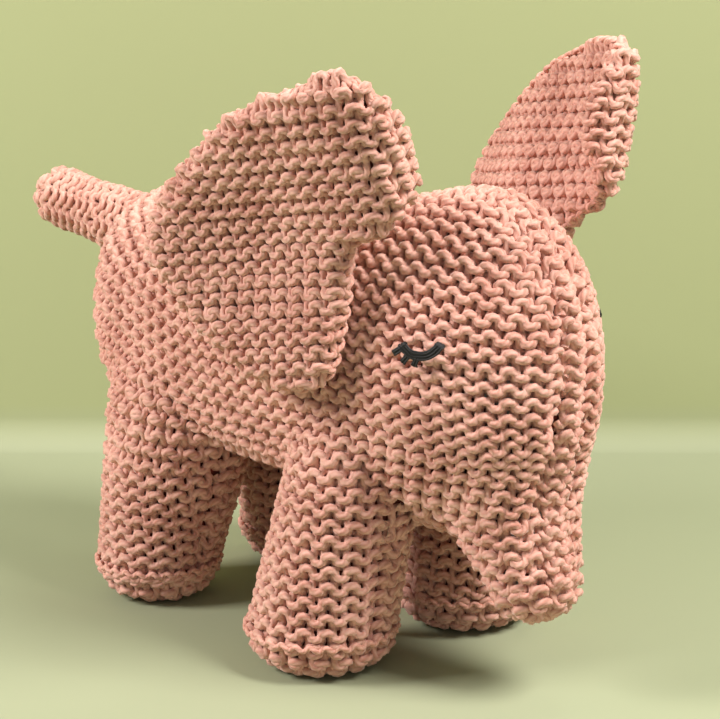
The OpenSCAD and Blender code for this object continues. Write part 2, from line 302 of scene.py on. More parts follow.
@dataclass
class Path:
    """A line on a surface that a knitted row follows."""

    points: np.ndarray
    normals: np.ndarray
    closed: bool
    arc: np.ndarray = field(init=False)

    def __post_init__(self) -> None:
        if self.closed:
            self.points = np.vstack([self.points, self.points[:1]])
            self.normals = np.vstack([self.normals, self.normals[:1]])
        seg = np.linalg.norm(np.diff(self.points, axis=0), axis=1)
        self.arc = np.concatenate([[0.0], np.cumsum(seg)])

    @property
    def length(self) -> float:
        """Length along the path."""
        return float(self.arc[-1])

    def at(self, u: np.ndarray, values: np.ndarray) -> np.ndarray:
        """Rows of values at the distances u, which may pass the ends."""
        if self.closed:
            u = np.mod(u, self.length)
        return np.stack([np.interp(u, self.arc, values[:, k]) for k in range(values.shape[1])], axis=1)

    def resampled(self, step: float, passes: int = 2) -> "Path":
        """The path with even steps, a little smoother."""
        count = max(4, int(round(self.length / step)))
        u = np.linspace(0, self.length, count + 1)
        p, n = self.at(np.minimum(u, self.length - 1e-6), self.points), self.at(u, self.normals)
        if self.closed:
            p, n = p[:-1], n[:-1]
        for _ in range(passes):
            if self.closed:
                p = (np.roll(p, 1, axis=0) + 2 * p + np.roll(p, -1, axis=0)) / 4
                n = (np.roll(n, 1, axis=0) + 2 * n + np.roll(n, -1, axis=0)) / 4
            else:
                p[1:-1] = (p[:-2] + 2 * p[1:-1] + p[2:]) / 4
                n[1:-1] = (n[:-2] + 2 * n[1:-1] + n[2:]) / 4
        return Path(p, unit(n), self.closed)


@dataclass
class Skein:
    """Collects tubes of yarn and makes one mesh object of them."""

    name: str
    tubes: list = field(default_factory=list)

    def add(self, centre: np.ndarray, up: np.ndarray, radius, sides: int, closed: bool) -> None:
        """Adds a tube round a centre line; up is a reference normal at each of its points."""
        if closed:
            along = np.roll(centre, -1, axis=0) - np.roll(centre, 1, axis=0)
        else:
            along = np.gradient(centre, axis=0)
        along = unit(along)
        across = unit(np.cross(along, up))
        top = np.cross(across, along)
        a = np.arange(sides) * 2 * np.pi / sides
        r = np.broadcast_to(np.asarray(radius, dtype=float), (len(centre),))[:, None, None]
        ring = centre[:, None] + r * (np.cos(a)[None, :, None] * across[:, None]
                                      + np.sin(a)[None, :, None] * top[:, None])
        self.tubes.append((ring, closed))

    @property
    def triangles(self) -> int:
        """Triangle count of the finished mesh."""
        return sum(2 * r.shape[0] * r.shape[1] for r, _ in self.tubes)

    def finish(self) -> bpy.types.Object:
        """Builds the mesh, with a map of the yarn's length and turn for its fibres and one for baking."""
        verts, quads, uv_ply, uv_bake, caps = [], [], [], [], []
        base = 0
        total = max(1, len(self.tubes))
        for row, (ring, closed) in enumerate(self.tubes):
            n, m = ring.shape[:2]
            verts.append(to_frame(ring.reshape(-1, 3)))
            spans = n if closed else n - 1
            i = np.arange(spans)[:, None]
            k = np.arange(m)[None, :]
            j, q = (i + 1) % n, (k + 1) % m
            quads.append((np.stack([i * m + k, j * m + k, j * m + q, i * m + q], axis=2) + base).reshape(-1, 4))
            seg = np.linalg.norm(np.diff(ring.mean(axis=1), axis=0, append=ring[:1].mean(axis=1)), axis=1)
            run = np.concatenate([[0.0], np.cumsum(seg)])
            u0, u1 = run[:spans], run[1:spans + 1]
            span = np.stack([u0, u1, u1, u0], axis=1)[:, None, :].repeat(m, axis=1)
            turn = np.stack([k[0], k[0], k[0] + 1, k[0] + 1], axis=1)[None].repeat(spans, axis=0) / m
            uv_ply.append(np.stack([span / 10.0, turn + 0.37 * row], axis=3).reshape(-1, 2))
            uv_bake.append(np.stack([span / run[spans] * 0.998 + 0.001, (row + 0.04 + turn * 0.92) / total],
                                    axis=3).reshape(-1, 2))
            if not closed:
                caps.append((base + np.arange(m)[::-1], run[0] / 10, (row + 0.5) / total))
                caps.append((base + (n - 1) * m + np.arange(m), run[spans] / 10, (row + 0.5) / total))
            base += n * m
        verts = np.concatenate(verts)
        quads = np.concatenate(quads)
        sides = len(caps[0][0]) if caps else 0
        ends = np.concatenate([c[0] for c in caps]) if caps else np.zeros(0, dtype=int)
        loops = np.concatenate([quads.ravel(), ends])
        starts = np.concatenate([np.arange(len(quads)) * 4, quads.size + np.arange(len(caps)) * sides])
        sizes = np.concatenate([np.full(len(quads), 4), np.full(len(caps), sides)])
        mesh = bpy.data.meshes.new(self.name)
        mesh.vertices.add(len(verts))
        mesh.vertices.foreach_set("co", verts.astype(np.float32).ravel())
        mesh.loops.add(len(loops))
        mesh.loops.foreach_set("vertex_index", loops.astype(np.int32))
        mesh.polygons.add(len(starts))
        mesh.polygons.foreach_set("loop_start", starts.astype(np.int32))
        mesh.polygons.foreach_set("loop_total", sizes.astype(np.int32))
        mesh.polygons.foreach_set("use_smooth", np.ones(len(starts), dtype=bool))
        cap_ply = np.array([[c[1], 0.5] for c in caps for _ in range(sides)]).reshape(-1, 2)
        cap_bake = np.array([[0.0005 if i % 2 == 0 else 0.9995, c[2]] for i, c in enumerate(caps)
                             for _ in range(sides)]).reshape(-1, 2)
        for layer, quad_uv, cap_uv in (("Ply", uv_ply, cap_ply), ("OFBake", uv_bake, cap_bake)):
            uv = np.concatenate(quad_uv + [cap_uv]).astype(np.float32)
            mesh.uv_layers.new(name=layer).data.foreach_set("uv", uv.ravel())
        mesh.update()
        mesh.validate()
        obj = bpy.data.objects.new(self.name, mesh)
        bpy.context.scene.collection.objects.link(obj)
        log.info("%s: %d rows, %d triangles", self.name, len(self.tubes), self.triangles)
        return obj


@dataclass
class Needles:
    """Knits rows of loops onto paths."""

    gauge: Gauge
    seed: int = 5
    rng: np.random.Generator = field(init=False)

    def __post_init__(self) -> None:
        self.rng = np.random.default_rng(self.seed)

    def wobble(self, count: int, size: float) -> np.ndarray:
        """Smooth random drift for hand tension, one value per sample."""
        knots = self.rng.normal(0, size, max(2, count // (2 * self.gauge.samples) + 3))
        return np.interp(np.linspace(0, len(knots) - 1, count), np.arange(len(knots)), knots)

    def row(self, skein: Skein, path: Path, up: np.ndarray, ridge: int, anchor: float, offset: float = 0.0,
            scale: float = 1.0) -> None:
        """Knits one row.

        Args:
            skein: where the yarn goes.
            path: line on the surface.
            up: direction toward the next row at each of the path's points.
            ridge: 0 for a row whose upper bends stand out, 1 for one whose lower bends do.
            anchor: distance along the path at which a stitch begins.
            offset: stitches counted at the anchor.
            scale: width of this row's stitches against the gauge.
        """
        g = self.gauge
        if path.length < 0.75 * g.stitch * scale:
            return
        if path.closed:
            count = max(3, round(path.length / (g.stitch * scale)))
            width = path.length / count
            t = np.arange(count * g.samples) * 2 * np.pi / g.samples
            base = anchor + width * t / (2 * np.pi)
        else:
            width = g.stitch * scale
            first = (0 - anchor) / width + offset
            last = (path.length - anchor) / width + offset
            n = max(8, int(round((last - first) * g.samples)))
            stitches = np.linspace(first, last, n + 1)
            t = stitches * 2 * np.pi
            base = anchor + (stitches - offset) * width
        drift = self.wobble(len(t), 0.12)
        u = base + g.sway * scale * np.sin(2 * t) + self.wobble(len(t), 0.2)
        if not path.closed:
            u = np.clip(u, 0.0, path.length)
        side = 1.0 if ridge else -1.0
        y = -(g.height / 2) * (1 + drift) * np.cos(t) + self.wobble(len(t), 0.12)
        z = side * g.depth * (1 + self.wobble(len(t), 0.08)) * np.cos(t)
        if not path.closed:
            edge = np.minimum(base, path.length - base)
            z = z - g.tuck * np.clip(1 - edge / g.tuck_run, 0, 1) ** 1.6
        p, n_, b = path.at(u, path.points), unit(path.at(u, path.normals)), unit(path.at(u, up))
        centre = p + y[:, None] * b + z[:, None] * n_
        skein.add(centre, n_, g.radius * (1 + self.wobble(len(t), 0.035)), g.sides, path.closed)


def split_path(path: Path, labels: np.ndarray) -> list:
    """Cuts a path where its labels change.

    Returns:
        List of (label, Path, indices) with a closed path only where one label goes all round.
    """
    count = len(labels)
    if path.closed:
        points, normals = path.points[:-1], path.normals[:-1]
    else:
        points, normals = path.points, path.normals
    change = np.nonzero(labels != np.roll(labels, 1))[0]
    if path.closed and len(change) == 0:
        return [(int(labels[0]), path, np.arange(count))]
    out = []
    if path.closed:
        for a, b in zip(change, np.append(change[1:], change[0] + count)):
            idx = np.arange(a, b) % count
            if len(idx) > 5:
                out.append((int(labels[a]), Path(points[idx], normals[idx], False), idx))
        return out
    cuts = [0] + [int(c) for c in change if c > 0] + [count]
    for a, b in zip(cuts[:-1], cuts[1:]):
        if b - a > 5:
            out.append((int(labels[a]), Path(points[a:b], normals[a:b], False), np.arange(a, b)))
    return out


# ---- stuffed forms --------------------------------------------------------------------------------


@dataclass(frozen=True)
class Station:
    """Cross-section of the barrel at a reach: lowest and highest z, half width and squareness."""

    reach: float
    low: float
    high: float
    half: float
    square: float


@dataclass
class BodyForm:
    """Barrel, head, legs and trunk under the knitting."""

    inset: float = 2.3
    voxel: float = 0.0026
    passes: int = 9
    around: int = 56
    track: float = 66.4
    wheelbase: float = 93.8
    pivot: tuple = (96.0, 77.0)
    tip: tuple = (114.0, 41.0)
    tip_r: float = 15.5
    ball_r: float = 27.0

    def stations(self) -> list:
        """Stations from the rump to the forehead."""
        return [
            Station(-91, 105, 115, 5, 2), Station(-89, 86, 128, 19, 2.1), Station(-84, 72, 137, 31, 2.2),
            Station(-75, 62, 144, 40.5, 2.4), Station(-59, 57, 149, 47, 2.5), Station(0, 56, 150, 50, 2.6),
            Station(40, 54, 154, 47.5, 2.5), Station(64, 50, 158, 43, 2.3), Station(80, 48, 162, 40.5, 2.2),
            Station(93, 49, 163, 38, 2.1), Station(105, 54, 159, 34, 2), Station(116, 61, 152, 27, 2),
            Station(124.4, 70, 142, 20, 2), Station(130.3, 86, 132, 11, 2), Station(133, 110, 120, 4, 2)]

    def barrel(self) -> bpy.types.Object:
        """Barrel and head in one loft."""
        rows = catmull([(s.reach, s.low, s.high, s.half, s.square) for s in self.stations()], 3, False)
        t = np.arange(self.around) * 2 * np.pi / self.around
        rings = []
        for reach, low, high, half, square in rows:
            c, s = np.cos(t), np.sin(t)
            x = max(half - self.inset, 1.5) * np.sign(c) * np.abs(c) ** (2 / square)
            tall = max((high - low) / 2 - self.inset, 1.5)
            z = (low + high) / 2 + tall * np.sign(s) * np.abs(s) ** (2 / square)
            squeeze = 1 - self.inset / 112
            rings.append(np.stack([x, np.full_like(x, 21 + (reach - 21) * squeeze), z], axis=1))
        verts, faces = ring_loft(np.array(rings))
        return new_object("barrel_form", to_frame(verts), faces)

    def leg(self, side: Side, front: bool) -> bpy.types.Object:
        """One leg down to its rounded foot."""
        reach = self.wheelbase / 2 * (1 if front else -1)
        radius, grow = (25.5, -0.05) if front else (22.5, 0.10)
        corner = 12 - self.inset
        low = [self.inset + corner * (1 - math.cos(math.radians(a))) for a in range(0, 91, 15)]
        t = np.arange(self.around) * 2 * np.pi / self.around
        rings = []
        for z in low + list(np.arange(14.0, 97.0, 5.0)):
            up = z - self.inset
            r = radius - self.inset
            if up < corner:
                r = r - corner + math.sqrt(max(0.0, corner ** 2 - (corner - up) ** 2))
            r += max(0.0, z - 13) * grow - max(0.0, (z - 58) / 38) ** 2 * 12
            u = min(50.0, max(0.0, z - 13))
            rings.append(np.stack([side.value * (self.track / 2 - 0.09 * u) + r * np.cos(t),
                                   reach + 0.19 * u + r * np.sin(t), np.full_like(t, z)], axis=1))
        verts, faces = ring_loft(np.array(rings))
        return new_object("leg_form", to_frame(verts), faces)

    def trunk(self, extra: float = 0.0) -> bpy.types.Object:
        """Trunk from inside the head down to its round tip, drawn in by the inset plus extra."""
        inset = self.inset + extra
        a, b = np.array(self.pivot), np.array(self.tip)
        span = float(np.linalg.norm(b - a))
        along = (b - a) / span
        front = np.array([-along[1], along[0]])
        profile = [(-20.0, 17.0), (-12.0, 24.5), (0.0, self.ball_r), (9.0, 25.0), (18.0, 22.2), (27.0, 19.6),
                   (34.0, 17.6), (span, self.tip_r + 0.6)]
        rows = catmull(profile, 3, False).tolist()
        rows += [(span + self.tip_r * math.sin(math.radians(g)), (self.tip_r + 0.6) * math.cos(math.radians(g)))
                 for g in range(12, 85, 12)]
        t = np.arange(self.around) * 2 * np.pi / self.around
        rings = []
        for s, r in rows:
            c = a + along * min(s, span + self.tip_r - inset)
            rr = max(r - inset, 1.5)
            rings.append(np.stack([rr * np.cos(t), c[0] + rr * np.sin(t) * front[0],
                                   c[1] + rr * np.sin(t) * front[1]], axis=1))
        verts, faces = ring_loft(np.array(rings))
        return new_object("trunk_form", to_frame(verts), faces)

    def cheek(self) -> bpy.types.Object:
        """Filling that carries the face into the trunk."""
        t = np.arange(self.around) * 2 * np.pi / self.around
        rows = catmull([(118, 100, 24, 17), (104, 104, 29, 24), (90, 103, 30, 25), (78, 102, 27, 24),
                        (66, 105, 23, 20), (54, 108, 18, 16)], 3, False)
        rings = [np.stack([(w - self.inset) * np.cos(t), reach + (d - self.inset) * np.sin(t), np.full_like(t, z)],
                          axis=1) for z, reach, w, d in rows]
        verts, faces = ring_loft(np.array(rings))
        return new_object("cheek_form", to_frame(verts), faces)

    def whole(self) -> bpy.types.Object:
        """Everything that the body's rows lie on, as one soft form."""
        legs = [self.leg(s, f) for s in Side for f in (True, False)]
        return melted("body_form", [self.barrel(), *legs, self.trunk(), self.cheek()], self.voxel, self.passes)


# ---- body -----------------------------------------------------------------------------------------


@dataclass
class KnitBody:
    """Knitted panels of body, legs, head and trunk."""

    form: BodyForm
    needles: Needles
    surface: Surface = None
    middle_z: float = 105.0
    belly_z: float = 50.0
    ridge: float = 5.3
    face_drop: float = 28.0
    back_middle: tuple = ((-93, 128), (-88, 134), (-80, 141), (-59, 149), (0, 150), (40, 154), (64, 158),
                          (80, 162), (93, 163), (105, 159), (116, 152), (124.4, 142), (130.3, 132), (133, 118),
                          (132, 104), (129, 92), (126.5, 80), (126.5, 66), (128.5, 54), (130.5, 44), (131, 38),
                          (126, 28))
    tip_run: float = 46.5
    tip_top: float = 60.0
    sole_top: float = 13.4
    trunk_reach: float = 90.0
    seat_margin: float = 1.0

    def build(self) -> list:
        """Knits every panel.

        Returns:
            The panel objects.
        """
        obj = self.form.whole()
        self.surface = Surface.of_object(obj)
        bpy.data.objects.remove(obj)
        names = {Zone.SIDE_RIGHT: "right", Zone.SIDE_LEFT: "left"}
        skeins = {}
        self.side_rows(skeins, names)
        self.top_rows(skeins)
        self.under_rows(skeins)
        self.tip_rows(skeins)
        self.sole_rows(skeins)
        return [s.finish() for s in skeins.values()]

    def skein(self, skeins: dict, name: str) -> Skein:
        """The skein of that name, begun if it is new."""
        return skeins.setdefault(name, Skein(name))

    def row_field(self, v: np.ndarray) -> np.ndarray:
        """Ridge count up the body: rows level on the legs, fanning out toward the rump and round the back."""
        x, reach, z = v[:, 0], v[:, 1], v[:, 2]
        pitch = 5.25 + 2.4 * smoothstep(-reach, 0.0, 88.0)
        inside = np.clip(reach, -45.0, 103.0)
        middle = self.middle_z - self.face_drop * smoothstep(reach, 50.0, 118.0)
        out = np.sqrt(x ** 2 + (reach - inside) ** 2)
        rise = np.clip(z - middle, 0, None)
        angle = np.arctan2(rise, np.maximum(out, 1e-3))
        height = np.where(z > middle, middle + angle * (46.0 + np.hypot(out, rise)) / 2, z)
        return np.where(height < self.belly_z, height / self.ridge,
                        self.belly_z / self.ridge + (height - self.belly_z) / pitch)

    def band_half(self, p: np.ndarray) -> np.ndarray:
        """Half width of the band over the back and the face, narrower on the forehead."""
        front = smoothstep(p[:, 1], 80, 112)
        return 8.0 - front * (3.6 - 2.2 * smoothstep(-p[:, 2], -108, -80))

    def trunk_front(self, p: np.ndarray) -> np.ndarray:
        """Distance forward of the trunk's axis."""
        a, b = np.array(self.form.pivot), np.array(self.form.tip)
        along = (b - a) / np.linalg.norm(b - a)
        return (p[:, 1] - a[0]) * -along[1] + (p[:, 2] - a[1]) * along[0]

    def trunk_run(self, p: np.ndarray) -> np.ndarray:
        """Distance down the trunk's axis from its pivot."""
        a, b = np.array(self.form.pivot), np.array(self.form.tip)
        along = (b - a) / np.linalg.norm(b - a)
        return (p[:, 1] - a[0]) * along[0] + (p[:, 2] - a[1]) * along[1]

    def zones(self, p: np.ndarray, n: np.ndarray) -> np.ndarray:
        """Panel that each spot belongs to."""
        x, reach, z = p[:, 0], p[:, 1], p[:, 2]
        ax = np.abs(x)
        out = np.where(x < 0, Zone.SIDE_RIGHT.value, Zone.SIDE_LEFT.value)
        lean = 0.09 * np.clip(z - 13, 0, 50)
        seam = self.form.track / 2 - lean
        half = self.band_half(p)
        narrow = seam + (half - seam) * smoothstep(z, 58, 104)
        belly_w = np.where(reach < -30, narrow, seam)
        belly = (ax < belly_w) & (z < np.where(reach < -40, 124, 92)) & (reach < 78)
        out = np.where(belly, Zone.BELLY.value, out)
        under = belly & (n[:, 2] < -0.7) & (z > 44) & (reach > -76)
        under |= (ax < 40) & (n[:, 2] < -0.7) & (z > 44) & (reach >= 78) & (self.trunk_run(p) < 20)
        out = np.where(under, Zone.UNDER.value, out)
        top = (ax < half) & (((z > 124) & (reach < 105)) | ((reach >= 105) & (z > 112))
                                       | ((z <= 125) & (reach > 90) & (self.trunk_front(p) > 0)))
        out = np.where(top, Zone.TOP.value, out)
        tip = (self.trunk_run(p) > self.tip_run) & (z < self.tip_top) & (reach > self.trunk_reach)
        out = np.where(tip, Zone.TIP.value, out)
        out = np.where((z < self.sole_top) & (reach < self.trunk_reach), Zone.SOLE.value, out)
        seat = np.linalg.norm(p - TAIL_PIVOT, axis=1) < TAIL_ROOM + self.seat_margin
        return np.where(seat, Zone.TAIL_SEAT.value, out)

    def knit(self, skeins: dict, values: np.ndarray, level: float, ridge: int, wanted: dict, anchor_of,
             scale_of=lambda p: 1.0) -> None:
        """Knits the parts of one contour that lie in the wanted zones.

        Args:
            skeins: skeins by name.
            values: field over the surface's vertices.
            level: value of this row.
            ridge: which bends stand out.
            wanted: skein name by zone value, or a function of the run's points for the name.
            anchor_of: gives (index, offset in stitches, direction) for a run of points.
            scale_of: stitch width against the gauge for a run of points.
        """
        for points, normals in self.surface.contours(values, level):
            path = Path(points, normals, True).resampled(0.9)
            labels = self.zones(path.points[:-1], path.normals[:-1])
            for label, run, _ in split_path(path, labels):
                if label not in wanted:
                    continue
                name = wanted[label](run.points) if callable(wanted[label]) else wanted[label]
                pts, nor = run.points, run.normals
                index, offset, forward = anchor_of(pts, label)
                if forward < 0:
                    pts, nor = pts[::-1], nor[::-1]
                    if run.closed:
                        pts, nor = pts[:-1], nor[:-1]
                    run = Path(pts.copy(), nor.copy(), run.closed)
                    index = len(run.points) - 1 - index
                elif run.closed:
                    index = index % len(run.points)
                along = unit(np.gradient(run.points, axis=0))
                up = unit(np.cross(run.normals, along))
                rise = self.rise(run.points, up)
                if rise < 0:
                    up = -up
                scale = scale_of(run.points)
                self.needles.row(self.skein(skeins, name), run, up, ridge, float(run.arc[index]), offset, scale)

    def rise(self, points: np.ndarray, up: np.ndarray) -> float:
        """Growth of the field now being knitted, along up at the middle of a run of points."""
        middle = len(points) // 2
        step = points[middle] + 3 * up[middle]
        return self.sense(points[middle], step)

    def sense(self, here: np.ndarray, there: np.ndarray) -> float:
        """Growth from here to there of the field now being knitted."""
        return float(self.field_now(there[None])[0] - self.field_now(here[None])[0])

    def side_rows(self, skeins: dict, names: dict) -> None:
        """Side panels and the inner halves of the legs, in level rows."""
        values = self.row_field(self.surface.verts)
        self.field_now = self.row_field
        g = self.needles.gauge

        def anchor(points: np.ndarray, label: int) -> tuple:
            x, reach, z = points[:, 0], points[:, 1], points[:, 2]
            inner = label == Zone.BELLY.value
            low = z.mean() < 54
            if inner:
                index = int(np.argmin(np.abs(x)))
                offset = 0.0
                step = np.gradient(np.abs(reach))[index]
                return index, offset, 1.0 if step >= 0 else -1.0
            if low and reach.mean() < 88:
                index = int(np.argmax(np.abs(x)))
            else:
                index = int(np.argmin(np.abs(reach - 54.0)))
            offset = reach[index] / g.stitch
            a, b = max(index - 4, 0), min(index + 4, len(x) - 1)
            return index, offset, 1.0 if reach[b] >= reach[a] else -1.0

        def side_name(side: str):
            def name(points: np.ndarray) -> str:
                mid = points.mean(axis=0)
                if mid[2] < 56 and mid[1] > 88:
                    return "knit_trunk"
                if mid[2] < 58:
                    return f"knit_leg_{'front' if mid[1] > 0 else 'hind'}_{side}"
                return f"knit_flank_{side}" if mid[2] < 104 else f"knit_shoulder_{side}"
            return name

        def belly_name(points: np.ndarray) -> str:
            mid = points.mean(axis=0)
            return "knit_inner_legs" if mid[2] < 56 else "knit_belly"

        wanted = {Zone.SIDE_RIGHT.value: side_name("right"), Zone.SIDE_LEFT.value: side_name("left"),
                  Zone.BELLY.value: belly_name}
        top = int(values.max() * 2)
        for k in range(5, top + 1):
            self.knit(skeins, values, k / 2 + 0.13, k % 2, wanted, anchor)

    def top_rows(self, skeins: dict) -> None:
        """Band over the back, the crown, the face and the front of the trunk, knitted across."""
        line = np.array(self.back_middle, dtype=float)
        seg = np.linalg.norm(np.diff(line, axis=0), axis=1)
        run = np.concatenate([[0.0], np.cumsum(seg)])

        def along(v: np.ndarray) -> np.ndarray:
            best = np.full(len(v), 1e9)
            out = np.zeros(len(v))
            for i in range(len(seg)):
                a, d = line[i], (line[i + 1] - line[i]) / seg[i]
                t = np.clip((v[:, 1] - a[0]) * d[0] + (v[:, 2] - a[1]) * d[1], 0, seg[i])
                gap = np.hypot(v[:, 1] - a[0] - t * d[0], v[:, 2] - a[1] - t * d[1])
                near = gap < best
                best = np.where(near, gap, best)
                out = np.where(near, run[i] + t, out)
            return out

        self.field_now = along
        values = along(self.surface.verts)

        def anchor(points: np.ndarray, label: int) -> tuple:
            index = int(np.argmin(np.abs(points[:, 0])))
            return index, 0.5, 1.0 if points[-1, 0] > points[0, 0] else -1.0

        pitch = self.ridge / 2
        for k in range(1, int(run[-1] / pitch)):
            self.knit(skeins, values, k * pitch, k % 2, {Zone.TOP.value: "knit_top_gusset"}, anchor,
                      lambda p: 0.66)

    def under_rows(self, skeins: dict) -> None:
        """Underside of belly and chin, in rows from side to side."""
        self.field_now = lambda v: v[:, 1]
        values = self.surface.verts[:, 1].copy()

        def anchor(points: np.ndarray, label: int) -> tuple:
            index = int(np.argmin(np.abs(points[:, 0])))
            return index, 0.0, 1.0 if points[-1, 0] > points[0, 0] else -1.0

        pitch = self.ridge / 2
        for k in range(int(-80 / pitch), int(112 / pitch)):
            self.knit(skeins, values, k * pitch, k % 2, {Zone.UNDER.value: "knit_underside"}, anchor)

    def tip_rows(self, skeins: dict) -> None:
        """Closed end of the trunk, in rounds."""
        centre = np.array([0.0, *self.form.tip])
        a, b = np.array(self.form.pivot), np.array(self.form.tip)
        along = np.array([0.0, *((b - a) / np.linalg.norm(b - a))])

        def polar(v: np.ndarray) -> np.ndarray:
            d = v - centre
            side = np.linalg.norm(d - np.outer(d @ along, along), axis=1)
            return self.form.tip_r * np.arctan2(side, d @ along + 1e-6)

        self.field_now = polar
        values = polar(self.surface.verts)
        values = np.where(self.surface.verts[:, 1] > 88, values, 500.0)

        def anchor(points: np.ndarray, label: int) -> tuple:
            return 0, 0.0, 1.0

        pitch = self.ridge / 2
        for k in range(1, 9):
            self.knit(skeins, values, 1.2 + k * pitch * 0.92, k % 2, {Zone.TIP.value: "knit_trunk_tip"}, anchor)

    def sole_rows(self, skeins: dict) -> None:
        """Round soles, in rounds from the middle of the foot up to their seam."""
        g = self.needles.gauge
        for side in Side:
            for front in (True, False):
                name = f"knit_sole_{'front' if front else 'hind'}_{side.name.lower()}"
                reach = self.form.wheelbase / 2 * (1 if front else -1)
                radius = (25.5 if front else 22.5) - self.form.inset - 0.3
                corner = 12 - self.form.inset
                floor = self.form.inset + 0.9
                flat = radius - corner
                total = flat + corner * math.pi / 2
                rows = int(total / (self.ridge / 2))
                for k in range(1, rows + 1):
                    s = total * k / (rows + 0.4)
                    bend = max(0.0, s - flat) / corner
                    r = min(s, flat) + corner * math.sin(bend)
                    z = floor + corner * (1 - math.cos(bend))
                    t = np.arange(90) * 2 * np.pi / 90
                    points = np.stack([side.value * self.form.track / 2 + r * np.cos(t), reach + r * np.sin(t),
                                       np.full_like(t, z)], axis=1)
                    out = np.stack([np.cos(t) * math.sin(bend), np.sin(t) * math.sin(bend),
                                    np.full_like(t, -math.cos(bend))], axis=1)
                    up = np.stack([np.cos(t) * math.cos(bend), np.sin(t) * math.cos(bend),
                                   np.full_like(t, math.sin(bend))], axis=1)
                    path = Path(points, out, True)
                    up = np.vstack([up, up[:1]])
                    if path.length > 2.4 * g.stitch:
                        self.needles.row(self.skein(skeins, name), path, up, k % 2, 0.0)


@dataclass
class Lining:
    """Closed cloth bags just under the knitting. Their dark rose is partly the lining's own colour and partly
    painted shade, which darkens the gaps between stitches where shade falls.
    """

    inset: float = 4.4

    def build(self) -> list:
        """Makes the bags of the body and of the trunk."""
        form = BodyForm(inset=self.inset, voxel=0.004, passes=6)
        legs = [form.leg(s, f) for s in Side for f in (True, False)]
        body = melted("lining_body", [form.barrel(), *legs], form.voxel, form.passes)
        trunk = melted("lining_trunk", [form.trunk(0.6), form.cheek()], form.voxel, form.passes)
        self.seat_tail(body)
        for o in (body, trunk):
            smooth_faces(o)
        return [body, trunk]

    def seat_tail(self, obj: bpy.types.Object) -> None:
        """Dents the bag where the root of the tail turns."""
        middle = Vector(to_frame(TAIL_PIVOT[None])[0])
        for v in obj.data.vertices:
            gap = v.co - middle
            if gap.length < TAIL_ROOM * MM:
                v.co = middle + gap.normalized() * TAIL_ROOM * MM
        obj.data.update()


def smooth_faces(obj: bpy.types.Object) -> None:
    """Shades every face of obj smooth."""
    obj.data.polygons.foreach_set("use_smooth", np.ones(len(obj.data.polygons), dtype=bool))
    obj.data.update()


# ---- ears -----------------------------------------------------------------------------------------


